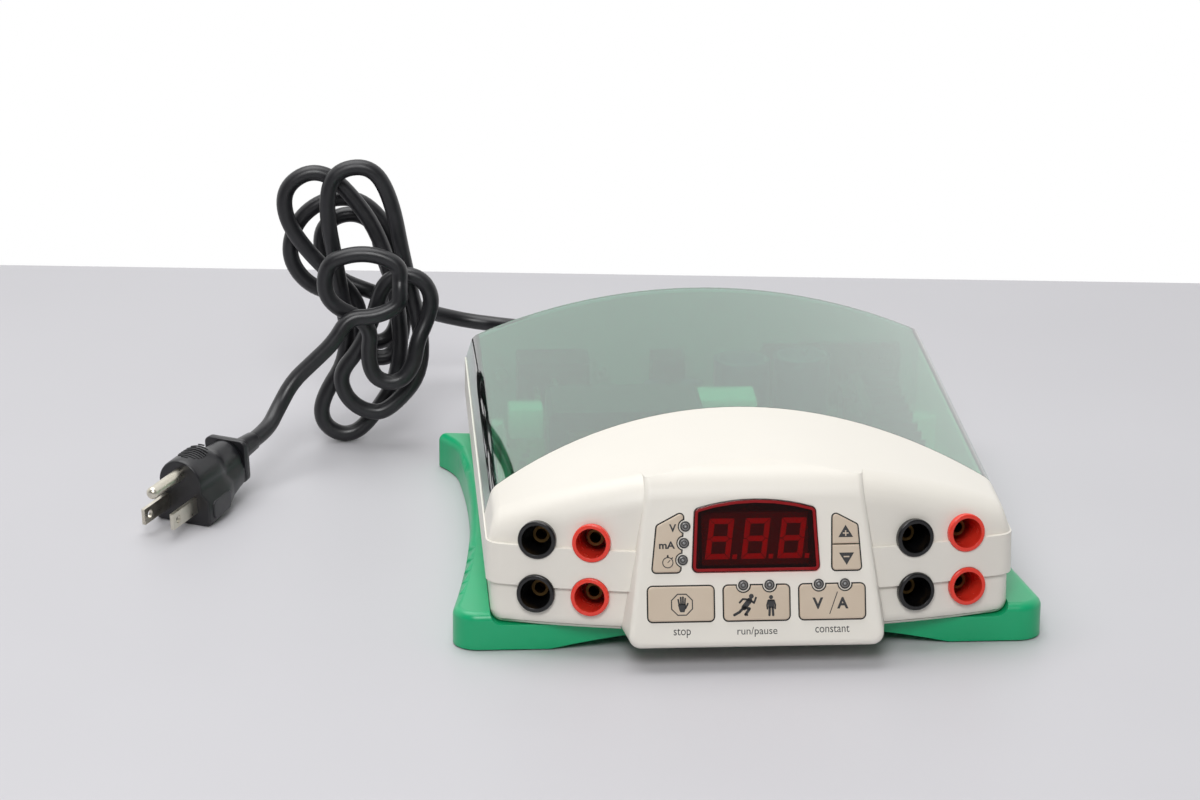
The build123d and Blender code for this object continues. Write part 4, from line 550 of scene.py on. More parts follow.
# The cover over the rear two thirds: smoked green polycarbonate, 2.5 mm thick and polished,
# snapped over the ledge. Light goes through it, so the board below shows dimly.
cover_glass, tree, place = start_material("smoked_polycarbonate")
haze = add_node(tree, "ShaderNodeTexNoise", {
    "Vector": place, "Scale": 1 / (16 * mm), "Detail": 5.0, "Roughness": 0.6})
shine = add_node(tree, "ShaderNodeMapRange", {0: haze.outputs["Fac"], 1: 0.35, 2: 0.75, 3: 0.02, 4: 0.07})
surface(tree, {
    "Base Color": linear("#74b79b"), "Roughness": shine.outputs[0], "IOR": 1.585,
    "Transmission Weight": 1.0, "Coat Weight": 0.5, "Coat Roughness": 0.04}, shadow="#add8c7")
dress(["top_cover"], cover_glass)


# The window: a transparent red acrylic lens pushed into the pod's face from behind. Its raised
# rim stands proud of the white face and a shallow pan holds the clear part.
pod_lean = math.radians(20.0)
pod_up = Vector((0.0, math.sin(pod_lean), math.cos(pod_lean)))
pod_out = Vector((0.0, -math.cos(pod_lean), math.sin(pod_lean)))
pod_foot = Vector((0.0, -123.356, 8.35))


def pod_seat(across, up, proud):
    """The place of a flat piece on the pod's face: across it, up it and out of it."""
    at = (pod_foot + Vector((across, 0, 0)) + pod_up * up + pod_out * proud) * mm
    return Matrix((
        (1, 0, 0, at.x), (0, pod_up.y, pod_out.y, at.y), (0, pod_up.z, pod_out.z, at.z), (0, 0, 0, 1)))


lens, tree, place = start_material("red_acrylic")
wipe = add_node(tree, "ShaderNodeTexNoise", {"Vector": place, "Scale": 1 / (5 * mm), "Detail": 4.0})
shine = add_node(tree, "ShaderNodeMapRange", {0: wipe.outputs["Fac"], 1: 0.35, 2: 0.7, 3: 0.03, 4: 0.09})
surface(tree, {
    "Base Color": linear("#c40a15"), "Roughness": shine.outputs[0], "IOR": 1.49,
    "Specular IOR Level": 0.3, "Transmission Weight": 1.0}, shadow="#e2485a")
dress(["display_window"], lens)

# The rim's top is a thin sheet of diffuse red, brighter than the lens: painted light that stands in
# for the glow in the rim. Its IOR is matched down to the photograph, so it throws back less white than
# polish would.
rim_glow_paint = moulded("red_sheet_painted_rim_glow", "#84060d", "#980a12", 3, 0.3, 0.4, 0.4, 0.01, 1.33)
arch_radius, arch_middle = 72.49, -20.19
window_corners = [(-22.5, 26.95), (22.5, 26.95), (21.3, 49.1)] + [
    (x, arch_middle + math.sqrt(arch_radius ** 2 - x * x)) for x in (14.2, 7.1, 0.0, -7.1, -14.2)
] + [(-21.3, 49.1)]


def flat_mesh(curve):
    """A flat curve or words as a thin closed mesh."""
    holder = bpy.data.objects.new("holder", curve)
    bpy.context.scene.collection.objects.link(holder)
    solved = holder.evaluated_get(bpy.context.evaluated_depsgraph_get())
    mesh = bpy.data.meshes.new_from_object(solved)
    bpy.data.objects.remove(holder)
    return mesh


def cut_out(outlines, thick):
    """A thin sheet cut to closed outlines; one that lies inside another is a hole."""
    curve = bpy.data.curves.new("outline", "CURVE")
    curve.dimensions, curve.fill_mode, curve.extrude = "2D", "BOTH", thick / 2 * mm
    for outline in outlines:
        line = curve.splines.new("POLY")
        line.points.add(len(outline) - 1)
        for point, (x, y) in zip(line.points, outline):
            point.co = (x * mm, y * mm, 0, 1)
        line.use_cyclic_u = True
    return flat_mesh(curve)


def together(name, meshes, material):
    """Several meshes as one piece of one material."""
    made = bmesh.new()
    for mesh in meshes:
        made.from_mesh(mesh)
    bmesh.ops.remove_doubles(made, verts=made.verts, dist=0.00001 * mm)
    joined = bpy.data.meshes.new(name)
    made.to_mesh(joined)
    made.free()
    joined.materials.clear()
    joined.materials.append(material)
    for polygon in joined.polygons:
        polygon.material_index = 0
    return joined


rim_round, rim_outer, rim_inner, rim_thick, rim_proud = 2.0, -0.3, -1.3, 0.06, 0.93
rim_sheet = cut_out([rounded(window_corners, rim_round, edge) for edge in (rim_outer, rim_inner)],
                    rim_thick)
rim_top = bpy.data.objects.new("window_rim", together("window_rim", [rim_sheet], rim_glow_paint))
rim_top.data.transform(pod_seat(0, 0, rim_proud))
show(rim_top)


# The display: a black block with three seven-segment digits, each segment a milky plastic
# light pipe that shows pale when it is off. They lean eight degrees, with a point beside each.
display_black = moulded("black_epoxy", "#1d1012", "#26171a", 8, 0.45, 0.6, 0.5, 0.01)
dress(["display_module"], display_black)

milky = moulded("milky_epoxy", "#977c7a", "#a38785", 3, 0.4, 0.5, 0.4, 0.005)
digit_slant, digit_thick, digits_place = math.radians(8.0), 0.06, (0.3, 38.55, -2.36)
# A digit's width, height and stroke, and the gap between two segments
w, h, s, g = 8.7, 14.2, 1.9, 0.12
upper = [(0, h - g), (s, h - s - g), (s, h / 2 + s / 2 + g), (s / 2, h / 2 + g), (0, h / 2 + g)]
segments = [
    [(g, h), (w - g, h), (w - s - g, h - s), (s + g, h - s)],
    [(s / 2 + g, h / 2), (s + g, h / 2 + s / 2), (w - s - g, h / 2 + s / 2), (w - s / 2 - g, h / 2),
     (w - s - g, h / 2 - s / 2), (s + g, h / 2 - s / 2)],
    [(g, 0), (w - g, 0), (w - s - g, s), (s + g, s)],
    upper, [(w - x, y) for x, y in upper],
    [(x, h - y) for x, y in upper], [(w - x, h - y) for x, y in upper],
    [(w + 0.9, 0), (w + 2.5, 0), (w + 2.5, 1.6), (w + 0.9, 1.6)],
]
leaning = [[(x - w / 2 + (y - h / 2) * math.tan(digit_slant), y - h / 2) for x, y in segment]
           for segment in segments]
one_digit = together("one_digit", [cut_out([segment], digit_thick) for segment in leaning], milky)
digit_sizes = {"Digits": 3, "Pitch": 12.7 * mm}
tree, given, result = set_up_tree("digit_row", digit_sizes)
step = add_node(tree, "ShaderNodeCombineXYZ", {"X": given.outputs["Pitch"]})
back_step = add_node(tree, "ShaderNodeMath", {0: given.outputs["Pitch"], 1: -1.0}, operation="MULTIPLY")
first = add_node(tree, "ShaderNodeCombineXYZ", {"X": back_step.outputs[0]})
row = add_node(tree, "GeometryNodeMeshLine", {
    "Count": given.outputs["Digits"], "Start Location": first.outputs[0], "Offset": step.outputs[0]})
row = add_node(tree, "GeometryNodeInstanceOnPoints", {
    "Points": row.outputs[0], "Instance": given.outputs["Start"]})
row = add_node(tree, "GeometryNodeRealizeInstances", {0: row.outputs[0]})
row = add_node(tree, "GeometryNodeSetMaterial", {0: row.outputs[0], "Material": milky})
tree.links.new(row.outputs[0], result.inputs[0])
digits = show(grow("display_digits", tree, digit_sizes, pod_seat(*digits_place), one_digit))


# The seven lamps: clear 3 mm light-emitting diodes in dark sleeves, unlit. Each shows a dark
# ring, a grey cup and, at its middle, a bright zinc speck that is a painted highlight.
lamp_places = [(-24.5, 43.1), (-25.1, 37.3), (-25.6, 31.4), (-4.6, 22.3), (4.6, 22.3),
               (21.9, 22.3), (31.1, 22.3)]
lamp_epoxy = moulded("smoky_epoxy", "#6d6b6a", "#8b8987", 1.5, 0.08, 0.16, 0.6, 0.004, 1.55)
dress(["indicator_lights"], lamp_epoxy)
sleeve_nylon = moulded("black_nylon", "#19191b", "#242427", 3, 0.32, 0.45, 0.5, 0.02)
lamp_points = bpy.data.meshes.new("lamp_points")
lamp_points.from_pydata([(x * mm, y * mm, 0) for x, y in lamp_places], [], [])


def lamp_rings(name, radius, section, proud, material):
    """One ring round each lamp, of a round section."""
    sizes = {"Radius": radius * mm, "Section": section * mm}
    tree, given, result = set_up_tree(name, sizes)
    circle = add_node(tree, "GeometryNodeCurvePrimitiveCircle", {
        "Resolution": 28, "Radius": given.outputs["Radius"]})
    wire = add_node(tree, "GeometryNodeCurvePrimitiveCircle", {
        "Resolution": 8, "Radius": given.outputs["Section"]})
    ring = add_node(tree, "GeometryNodeCurveToMesh", {0: circle.outputs[0], 1: wire.outputs[0]})
    ring = add_node(tree, "GeometryNodeInstanceOnPoints", {
        "Points": given.outputs["Start"], "Instance": ring.outputs[0]})
    ring = add_node(tree, "GeometryNodeRealizeInstances", {0: ring.outputs[0]})
    ring = add_node(tree, "GeometryNodeSetMaterial", {0: ring.outputs[0], "Material": material})
    tree.links.new(ring.outputs[0], result.inputs[0])
    show(grow(name, tree, sizes, pod_seat(0, 0, proud), lamp_points))


lamp_rings("lamp_sleeves", 1.62, 0.2, 0.16, sleeve_nylon)
lamp_rings("lamp_cups", 0.78, 0.16, 0.3, sleeve_nylon)
# A bright zinc speck at each lamp's middle: painted highlight for the glint on the dome
lamp_rings("lamp_glint_specks", 0.16, 0.15, 0.34, zinc)


# The keys: beige ABS caps with softly rounded edges, each sprung on its switch. A black sheet
# just behind the face, round every cap, is painted shade that darkens the gap.
key_abs = moulded("beige_ABS", "#cbb9a4", "#d4c4b0", 14, 0.32, 0.42, 0.7, 0.02)
dress(["stop_key", "run_key", "constant_key", "select_key", "plus_key", "minus_key"], key_abs)
gap_shade_black = moulded("black_painted_gap_shade", "#0c0c0d", "#141415", 3, 0.6, 0.75, 0.5, 0.02)
# The three wide keys' width, height and corner radius, then the corners of the keys at each side
wide_key, wide_key_middle = (22.9, 12.1, 1.5), 16.15
select_points = [(-36.3, 27.2), (-26.6, 27.2), (-25.1, 48.3), (-34.5, 43.4)]
change_points = [(26.8, 27.1), (36.9, 27.1), (35.8, 42.8), (27.2, 47.4)]


def bitten(outline, lamps, radius):
    """An outline with round bites taken out of it at the lamps."""
    for lamp_x, lamp_y in lamps:
        fine = []
        for (x0, y0), (x1, y1) in zip(outline, outline[1:] + outline[:1]):
            steps = max(1, int(math.hypot(x1 - x0, y1 - y0) / 0.1))
            fine += [(x0 + (x1 - x0) * at / steps, y0 + (y1 - y0) * at / steps) for at in range(steps)]
        inside = [math.hypot(x - lamp_x, y - lamp_y) < radius for x, y in fine]
        if not any(inside):
            continue
        start = next(at for at in range(len(fine)) if inside[at] and not inside[at - 1])
        fine, inside = fine[start:] + fine[:start], inside[start:] + inside[:start]
        count = next(at for at in range(len(fine)) if not inside[at])
        middle_x = sum(x for x, y in outline) / len(outline)
        middle_y = sum(y for x, y in outline) / len(outline)
        first = math.atan2(fine[0][1] - lamp_y, fine[0][0] - lamp_x)
        inward = math.atan2(middle_y - lamp_y, middle_x - lamp_x)
        last = math.atan2(fine[count][1] - lamp_y, fine[count][0] - lamp_x)
        half_one = (inward - first + math.pi) % math.tau - math.pi
        half_two = (last - inward + math.pi) % math.tau - math.pi
        turns = [first + (half_one + half_two) * at / 16 for at in range(17)]
        bite = [(lamp_x + radius * math.cos(turn), lamp_y + radius * math.sin(turn)) for turn in turns]
        outline = bite + fine[count:]
    return outline


# Each gap: the key's corners, their radius, and the lamps that its cap goes round
gap_outlines = [(box_corners(x, wide_key_middle, *wide_key[:2]), wide_key[2], lamps)
                for x, lamps in ((-26.5, []), (0.0, lamp_places[3:5]), (26.5, lamp_places[5:]))]
gap_outlines += [(select_points, 1.2, lamp_places[:3]), (change_points, 1.2, [])]
# A black sheet under the face round every cap: painted shade that darkens the gaps
gap_shade_reach, gap_shade_start, gap_shade_thick, gap_shade_proud = 0.5, 0.03, 0.6, -0.28
lamp_edge, cap_edge = 2.25, 2.67
gap_shade_sheet = bpy.data.objects.new("key_gap_shade", together("key_gap_shade", [
    cut_out([bitten(rounded(corners, radius, gap_shade_reach), lamps, lamp_edge),
             bitten(rounded(corners, radius, gap_shade_start), lamps, cap_edge)], gap_shade_thick)
    for corners, radius, lamps in gap_outlines], gap_shade_black))
gap_shade_sheet.data.transform(pod_seat(0, 0, gap_shade_proud))
show(gap_shade_sheet)


# The marks: black ink pad-printed on the keys and under them, plain letters and pictograms for
# stop, run and pause, constant volts or amps, volts, milliamps, time, more and less.
ink = moulded("black_printing_ink", "#28282a", "#333335", 1.0, 0.4, 0.6, 0.3, 0.002)
ink_thick, ink_lift = 0.02, 0.004


def stroke(points, width):
    """The outlines of a thick line with round ends: a bar for each run and a disc at each joint."""
    pieces = []
    for (x0, y0), (x1, y1) in zip(points, points[1:]):
        way = Vector((x1 - x0, y1 - y0)).normalized() * width / 2
        pieces.append([(x0 - way.y, y0 + way.x), (x0 + way.y, y0 - way.x),
                       (x1 + way.y, y1 - way.x), (x1 - way.y, y1 + way.x)])
    pieces += [disc(x, y, width / 2) for x, y in points]
    return [[piece] for piece in pieces]


def disc(x, y, radius, sides=20):
    """A round outline."""
    return [(x + radius * math.cos(math.tau * at / sides), y + radius * math.sin(math.tau * at / sides))
            for at in range(sides)]


def words(text, x, y, width, height, bold=0.0):
    """Words as a thin mesh with this middle and these overall sizes."""
    curve = bpy.data.curves.new("words", "FONT")
    curve.body, curve.extrude, curve.offset, curve.resolution_u = text, ink_thick / 2 * mm, bold, 4
    mesh = flat_mesh(curve)
    low = [min(v.co[at] for v in mesh.vertices) for at in (0, 1)]
    high = [max(v.co[at] for v in mesh.vertices) for at in (0, 1)]
    for v in mesh.vertices:
        v.co.x = (x + ((v.co.x - low[0]) / (high[0] - low[0]) - 0.5) * width) * mm
        v.co.y = (y + ((v.co.y - low[1]) / (high[1] - low[1]) - 0.5) * height) * mm
    return mesh


def mark(name, body, shapes, lettering=(), proud=0.8):
    """Ink marks on a key or on the pod's face: cut shapes and lettering, as one piece."""
    meshes = [cut_out(outlines, ink_thick) for outlines in shapes] + list(lettering)
    piece = bpy.data.objects.new(name, together(name, meshes, ink))
    piece.data.transform(pod_seat(0, 0, proud + ink_thick / 2 + ink_lift))
    show(piece, body)
    return piece


stop_at, sign_radius = (-26.2, 15.9), 4.15
eight_sides = [(stop_at[0] + sign_radius * math.cos(math.radians(22.5 + 45 * at)),
                stop_at[1] + sign_radius * math.sin(math.radians(22.5 + 45 * at))) for at in range(8)]
inner_sides = [(stop_at[0] + (x - stop_at[0]) * 0.9, stop_at[1] + (y - stop_at[1]) * 0.9)
               for x, y in eight_sides]
palm = [(-1.35, -0.2), (-0.95, -1.9), (-0.6, -2.6), (0.85, -2.6), (1.15, -1.7), (1.45, -0.6), (1.3, 0.3),
        (-1.2, 0.3)]
hand = [[[(stop_at[0] + x, stop_at[1] + y) for x, y in palm]]]
for root, tip, width in (((-0.98, 0.0), (-1.3, 1.75), 0.6), ((-0.33, 0.1), (-0.42, 2.5), 0.62),
                         ((0.34, 0.1), (0.36, 2.6), 0.62), ((0.98, 0.0), (1.15, 2.1), 0.58),
                         ((1.2, -1.3), (2.05, 0.35), 0.6)):
    hand += stroke([(stop_at[0] + root[0], stop_at[1] + root[1]),
                    (stop_at[0] + tip[0], stop_at[1] + tip[1])], width)
mark("stop_mark", "stop_key", [[eight_sides, inner_sides], *hand])

runner = [[disc(-1.9, 18.45, 0.85)]]
for limb, width in (
    ([(-2.5, 17.0), (-4.5, 14.5)], 1.9), ([(-2.3, 17.1), (-1.0, 16.1), (-0.3, 17.9)], 0.7),
    ([(-2.9, 17.3), (-4.9, 17.5), (-6.0, 16.3)], 0.7), ([(-4.4, 14.6), (-2.6, 14.1), (-4.0, 12.1)], 1.0),
    ([(-4.7, 14.4), (-6.1, 13.0), (-7.9, 12.0)], 0.95), ([(-4.0, 12.1), (-3.4, 11.9)], 0.6),
):
    runner += stroke(limb, width)
stander = [[disc(5.0, 18.0, 0.72)], [box_corners(5.0, 15.75, 2.1, 2.9)]]
for limb, width in (
    ([(4.0, 16.85), (3.55, 15.3), (3.65, 14.0)], 0.6), ([(6.0, 16.85), (6.45, 15.3), (6.35, 14.0)], 0.6),
    ([(4.5, 14.5), (4.35, 11.8)], 0.85), ([(5.5, 14.5), (5.65, 11.8)], 0.85),
    ([(4.3, 16.9), (5.7, 16.9)], 0.6),
):
    stander += stroke(limb, width)
mark("run_marks", "run_key", runner + stander)

mark("constant_marks", "constant_key", stroke([(25.5, 11.9), (28.3, 19.4)], 0.3), [
    words("V", 21.4, 15.6, 3.8, 4.0, 0.035), words("A", 30.1, 15.6, 4.0, 4.0, 0.035)])

watch = [[disc(-30.9, 30.6, 1.95, 40), disc(-30.9, 30.6, 1.62, 40)]]
watch += stroke([(-30.9, 30.6), (-30.1, 31.4)], 0.26) + stroke([(-30.9, 32.6), (-30.9, 33.0)], 0.6)
watch += stroke([(-29.5, 32.0), (-29.25, 32.25)], 0.4)
mark("select_marks", "select_key", watch, [
    words("V", -29.0, 42.6, 2.5, 2.7, 0.03), words("mA", -31.1, 36.7, 5.6, 2.6, 0.03)])

plus_sign = [(-1.0, -0.22), (-0.22, -0.22), (-0.22, -1.0), (0.22, -1.0), (0.22, -0.22), (1.0, -0.22),
             (1.0, 0.22), (0.22, 0.22), (0.22, 1.0), (-0.22, 1.0), (-0.22, 0.22), (-1.0, 0.22)]
mark("plus_mark", "plus_key", [[[(29.0, 38.5), (34.2, 38.5), (31.6, 42.8)],
                                [(31.6 + x, 39.9 + y) for x, y in plus_sign]]])
mark("minus_mark", "minus_key", [[[(29.1, 33.1), (34.4, 33.1), (31.75, 28.8)],
                                  box_corners(31.75, 31.7, 2.0, 0.44)]])
mark("key_names", "root", [], [
    words("stop", -26.2, 5.95, 6.0, 3.3, 0.0), words("run/pause", 0.1, 6.0, 14.0, 3.4, 0.0),
    words("constant", 26.4, 6.5, 12.0, 2.3, 0.0)], proud=0.0)


# The jacks: shrouded 4 mm sockets in glass-filled nylon, black and red, pressed through the
# sloping front. Each has a flat polished ring round a deep bore with a brass tube at its end.
black_nylon = moulded("polished_black_nylon", "#0b0b0c", "#131314", 5, 0.16, 0.26, 0.5, 0.01)
red_nylon = moulded("polished_red_nylon", "#ea3626", "#f04433", 5, 0.18, 0.3, 0.5, 0.01)
dress(["black_jacks"], black_nylon)
dress(["red_jacks"], red_nylon)
# The brass tubes are coloured far darker than brass: painted shade for the depth of the bores
brass = metal("brass_painted_bore_shade", "#5b4627", "#705936", 2, 0.42, 0.58)
dress(["jack_contacts"], brass)


# The boards: glass-epoxy sheets under green solder mask, with tinned tracks that show as paler
# lines. One is behind the keys, one behind each group of jacks and the large one lies on bosses.
mask_green, tree, place = start_material("glass_epoxy_board")
tracks = add_node(tree, "ShaderNodeTexBrick", {
    "Vector": place, "Color1": linear("#0d4c2d"), "Color2": linear("#105634"),
    "Mortar": linear("#2a7d50"), "Scale": 1 / (9 * mm), "Mortar Size": 0.05,
    "Brick Width": 1.3, "Row Height": 0.28})
weave = add_node(tree, "ShaderNodeTexNoise", {"Vector": place, "Scale": 1 / (0.8 * mm), "Detail": 2.0})
shine = add_node(tree, "ShaderNodeMapRange", {0: weave.outputs["Fac"], 1: 0.3, 2: 0.7, 3: 0.25, 4: 0.4})
bump = add_node(tree, "ShaderNodeBump", {
    "Height": tracks.outputs["Fac"], "Strength": 0.6, "Distance": 0.04 * mm}, invert=True)
surface(tree, {
    "Base Color": tracks.outputs["Color"], "Roughness": shine.outputs[0],
    "Normal": bump.outputs[0], "IOR": 1.55})
dress(["front_board", "jack_boards", "main_board"], mask_green)

# Small chips and solder joints, scattered over the large board by a fixed seed
board_middle, board_width, board_depth, board_top, board_edge = (0.0, 19.0), 156.0, 170.0, 17.6, 2.0
chip_epoxy = moulded("chip_epoxy", "#1b1b1d", "#28282b", 1.5, 0.5, 0.65, 0.4, 0.01)
for name, seed, density, size, material, slot in (
    ("board_chips", 4, 11000.0, (2.4, 1.5, 0.9), chip_epoxy, "part_black"),
    ("solder_joints", 9, 16000.0, (1.5, 1.5, 0.6), zinc, "pin_nickel"),
):
    sizes = {"Long": size[0] * mm, "Wide": size[1] * mm, "High": size[2] * mm, "Density": density,
             "Seed": seed, "Board width": (board_width - 2 * board_edge) * mm,
             "Board depth": (board_depth - 2 * board_edge) * mm}
    tree, given, result = set_up_tree(name, sizes)
    sheet = add_node(tree, "GeometryNodeMeshGrid", {
        "Size X": given.outputs["Board width"], "Size Y": given.outputs["Board depth"]})
    spots = add_node(tree, "GeometryNodeDistributePointsOnFaces", {
        0: sheet.outputs[0], "Density": given.outputs["Density"], "Seed": given.outputs["Seed"]})
    body_size = add_node(tree, "ShaderNodeCombineXYZ", {
        "X": given.outputs["Long"], "Y": given.outputs["Wide"], "Z": given.outputs["High"]})
    if name == "board_chips":
        shape = add_node(tree, "GeometryNodeMeshCube", {"Size": body_size.outputs[0]})
    else:
        shape = add_node(tree, "GeometryNodeMeshIcoSphere", {"Radius": 0.5, "Subdivisions": 2})
        shape = add_node(tree, "GeometryNodeTransform", {
            0: shape.outputs[0], "Scale": body_size.outputs[0]})
    quarter = add_node(tree, "FunctionNodeRandomValue", {
        "Min": 0, "Max": 3, "Seed": given.outputs["Seed"]}, data_type="INT")
    turn = add_node(tree, "ShaderNodeMath", {0: quarter.outputs[2], 1: math.pi / 2},
                    operation="MULTIPLY")
    turn = add_node(tree, "ShaderNodeCombineXYZ", {"Z": turn.outputs[0]})
    parts = add_node(tree, "GeometryNodeInstanceOnPoints", {
        "Points": spots.outputs[0], "Instance": shape.outputs[0], "Rotation": turn.outputs[0]})
    parts = add_node(tree, "GeometryNodeRealizeInstances", {0: parts.outputs[0]})
    parts = add_node(tree, "GeometryNodeSetMaterial", {0: parts.outputs[0], "Material": material})
    tree.links.new(parts.outputs[0], result.inputs[0])
    # A little under half of each part's height is above its middle, so it stands in the board
    seat = Matrix.Translation(Vector((*board_middle, board_top + size[2] * 0.45)) * mm)
    show(grow(name, tree, sizes, seat))

# Three film capacitors: white polypropylene boxes potted in epoxy, the pale patches that show
# through the cover
pale_box = moulded("white_polypropylene", "#e8e6df", "#f1efe9", 6, 0.4, 0.55, 0.5, 0.02)
# The low and high corner of each box, and the height and inset of the rings of a box's skin
for number, (low, high) in enumerate((
        ((-6.0, 39.5, 17.6), (16.5, 56.5, 44.5)), ((-77.0, 76.0, 17.6), (-63.5, 87.0, 30.0)),
        ((-62.0, 62.0, 17.6), (-50.0, 70.0, 26.0))), start=1):
    middle_x, middle_y = (low[0] + high[0]) / 2, (low[1] + high[1]) / 2
    width, depth = high[0] - low[0], high[1] - low[1]
    rings = [[(x, y, z) for x, y in rounded(
        box_corners(middle_x, middle_y, width - 2 * inset, depth - 2 * inset), 0.9)]
        for z, inset in ((low[2], 0.3), (low[2] + 0.4, 0.0), (high[2] - 0.7, 0.0), (high[2] - 0.2, 0.25),
                         (high[2], 0.7))]
    show(skin(f"film_capacitor_{number}", rings, pale_box))


# The transformer and the coil: a core of stacked silicon-steel sheets, varnished, and enamelled
# copper wire wound on in even layers.
def banded(name, low, high, pitch, across, uneven, strength, depth, **sockets):
    """A material in bands a pitch apart in millimetres, each with a ridge. The texture repeats
    every 0.314 of its scale."""
    material, tree, place = start_material(name)
    bands = add_node(tree, "ShaderNodeTexWave", {
        "Vector": place, "Scale": 0.314 / (pitch * mm), "Distortion": uneven, "Detail": 1.0},
        bands_direction=across)
    tone = add_node(tree, "ShaderNodeMix", {
        0: bands.outputs["Fac"], 6: linear(low), 7: linear(high)}, data_type="RGBA")
    bump = add_node(tree, "ShaderNodeBump", {
        "Height": bands.outputs["Fac"], "Strength": strength, "Distance": depth * mm})
    surface(tree, {"Base Color": tone.outputs[2], "Normal": bump.outputs[0], **sockets})
    return material


# The sheets are half a millimetre thick, drawn 1 mm apart so that they show; the wire is 0.8 mm
core_steel = banded("varnished_silicon_steel", "#232427", "#3b3c40", 1.0, "Y", 0.4, 0.5, 0.1,
                    Roughness=0.42)
dress(["transformer_core"], core_steel)
copper = banded("enamelled_copper_wire", "#6b2e14", "#b9622f", 0.8, "Z", 0.6, 0.9, 0.3,
                Metallic=0.6, Roughness=0.32)
dress(["transformer_winding", "inductor"], copper)

# Heat sinks: extruded aluminium, black anodised, with the die's fine lines along the fins
anodised = metal("black_anodised_aluminium", "#1a1b1e", "#2b2c30", 1.5, 0.38, 0.55, 0.5)
dress(["heat_sinks"], anodised)

# Capacitors: aluminium cans in shrunk PVC sleeves, with bare tops that the sleeve rims
sleeve_pvc = moulded("shrunk_blue_PVC", "#16264a", "#1d315c", 6, 0.25, 0.4, 0.8, 0.03)
dress(["capacitors"], sleeve_pvc)
can_top = metal("drawn_aluminium", "#a5a8aa", "#bfc2c4", 2, 0.35, 0.5)
tops = []
# The cans' radius, the height of their tops and their places, then each top's rings from its rim in
for radius, top, places in ((11.0, 49.6, ((14, -38), (-12, -38), (14, 76), (38, 80))),
                            (5.0, 33.6, ((36, -50), (36, -36), (-4, 96), (-18, 96)))):
    for x, y in places:
        rings = [[(px, py, top + rise) for px, py in disc(x, y, radius * share, 36)]
                 for rise, share in ((-0.2, 0.88), (0.06, 0.88), (0.03, 0.84), (-0.15, 0.80), (-0.1, 0.2))]
        tops.append(skin("top", rings, can_top).data)
can_caps = show(bpy.data.objects.new("capacitor_tops", together("capacitor_tops", tops, can_top)))

# Relays, transistors, switches and connectors: moulded PBT and nylon
black_pbt = moulded("black_PBT", "#1a1a1c", "#242427", 5, 0.42, 0.55, 0.6, 0.02)
dress(["power_transistors", "relays", "key_switches"], black_pbt)
cream_nylon = moulded("cream_nylon", "#d9d2bd", "#e3dcc8", 5, 0.4, 0.55, 0.6, 0.02)
dress(["board_connectors"], cream_nylon)

# The ribbon: twenty wires in grey PVC, 1.27 mm apart, with one red edge
ribbon_pvc, tree, place = start_material("grey_ribbon_PVC")
wires = add_node(tree, "ShaderNodeTexWave", {
    "Vector": place, "Scale": 0.314 / (1.27 * mm)}, bands_direction="X")
parts = add_node(tree, "ShaderNodeSeparateXYZ", {0: place})
red_edge = add_node(tree, "ShaderNodeMath", {0: parts.outputs["X"], 1: 11.5 * mm},
                    operation="GREATER_THAN")
tone = add_node(tree, "ShaderNodeMix", {
    0: red_edge.outputs[0], 6: linear("#8d8f92"), 7: linear("#a3282a")}, data_type="RGBA")
bump = add_node(tree, "ShaderNodeBump", {
    "Height": wires.outputs["Fac"], "Strength": 0.9, "Distance": 0.35 * mm})
surface(tree, {"Base Color": tone.outputs[2], "Roughness": 0.48, "Normal": bump.outputs[0]})
dress(["ribbon_cable"], ribbon_pvc)


# The rear fittings: appliance inlet, rocker switch and fuse holder, black nylon mouldings
# snapped or screwed into the grey panel.
fitting_nylon = moulded("matt_black_nylon", "#161618", "#202023", 8, 0.4, 0.52, 0.8, 0.03)
dress(["mains_inlet", "switch_frame", "fuse_holder"], fitting_nylon)
dress(["power_rocker", "fuse_cap"], black_nylon)
dress(["fuse"], nickel)

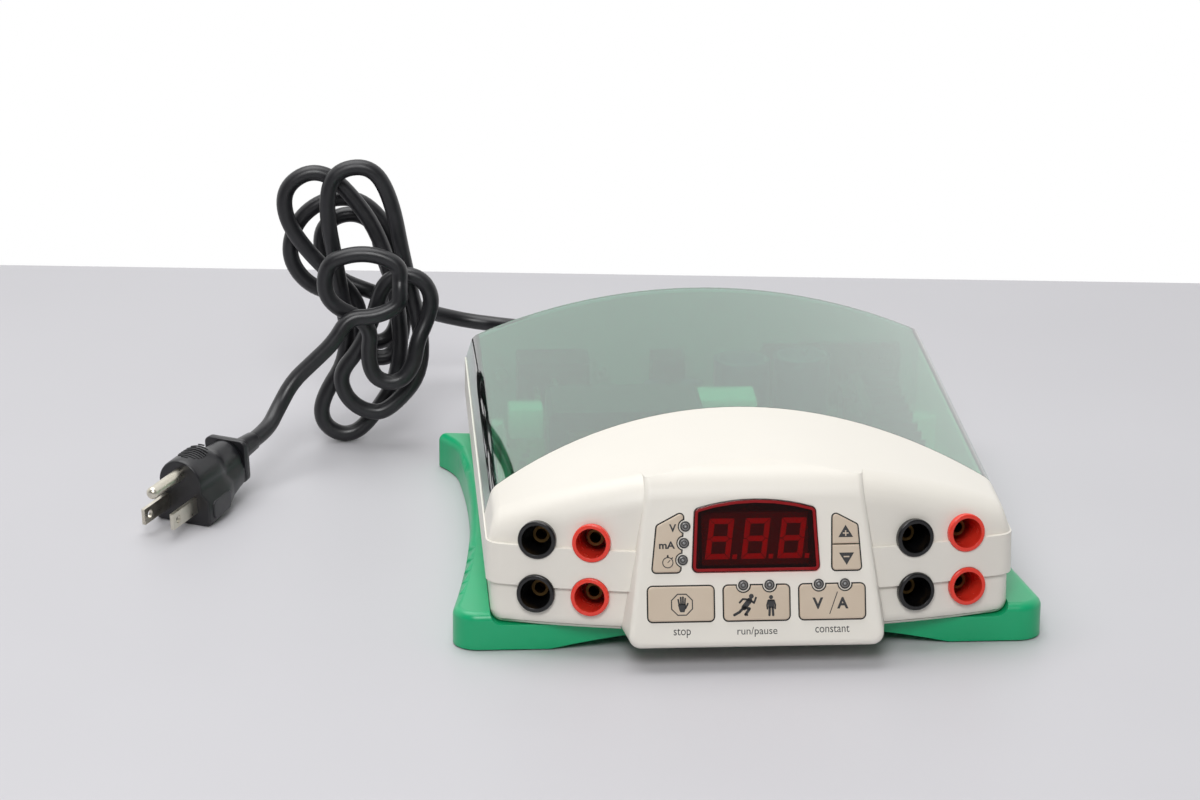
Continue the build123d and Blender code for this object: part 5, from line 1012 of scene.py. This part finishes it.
# A bar for on and a ring for off, in white ink on the two ends of the rocker's hollow face
white_ink = moulded("white_printing_ink", "#d9d9d5", "#e4e4e0", 1.0, 0.4, 0.6, 0.3, 0.002)
rocker_pivot, rocker_rest = Vector((-12.0, 116.4, 31.0)), Matrix.Rotation(math.radians(-7.0), 4, "X")
rocker_hollow, rocker_reach, white_thick, white_proud = 30.87, 3.9, 0.1, 0.02
flat_to_back = Matrix(((-1, 0, 0, 0), (0, 0, 1, 0), (0, 1, 0, 0), (0, 0, 0, 1)))
rocker_meshes = []
for up, outlines in ((4.4, [box_corners(0, 0, 0.7, 2.8)]),
                     (-4.4, [disc(0, 0, 1.35, 40), disc(0, 0, 0.95, 40)])):
    out = rocker_reach + rocker_hollow - math.sqrt(rocker_hollow ** 2 - up ** 2) + white_proud
    lie = Matrix.Rotation(-math.asin(up / rocker_hollow), 4, "X")
    mesh = cut_out(outlines, white_thick)
    mesh.transform(Matrix.Translation(rocker_pivot * mm) @ rocker_rest
                   @ Matrix.Translation(Vector((0, out, up)) * mm) @ lie @ flat_to_back)
    rocker_meshes.append(mesh)
rocker_marks = bpy.data.objects.new("rocker_marks", together("rocker_marks", rocker_meshes, white_ink))
show(rocker_marks, "power_rocker")

# A sheet of open-cell black foam inside the panel keeps dust out of the slots
foam, tree, place = start_material("open_cell_polyurethane_foam")
cells = add_node(tree, "ShaderNodeTexVoronoi", {"Vector": place, "Scale": 1 / (1.1 * mm)})
tone = add_node(tree, "ShaderNodeMix", {
    0: cells.outputs["Distance"], 6: linear("#0c0c0d"), 7: linear("#2a2a2d")}, data_type="RGBA")
bump = add_node(tree, "ShaderNodeBump", {
    "Height": cells.outputs["Distance"], "Strength": 0.9, "Distance": 0.5 * mm})
surface(tree, {"Base Color": tone.outputs[2], "Roughness": 0.9, "Normal": bump.outputs[0]})
vent_x, vent_middle, vent_inner_y = 54.0, 30.0, 117.3
foam_rings = [[(x, y, z) for x, z in rounded(box_corners(vent_x, vent_middle, 56.0 - 2 * inset,
                                                         26.0 - 2 * inset), 2.0)]
              for y, inset in ((vent_inner_y - 3.1, 0.4), (vent_inner_y - 2.7, 0.0),
                               (vent_inner_y - 0.5, 0.0), (vent_inner_y - 0.1, 0.4))]
vent_foam = show(skin("vent_foam", foam_rings, foam))
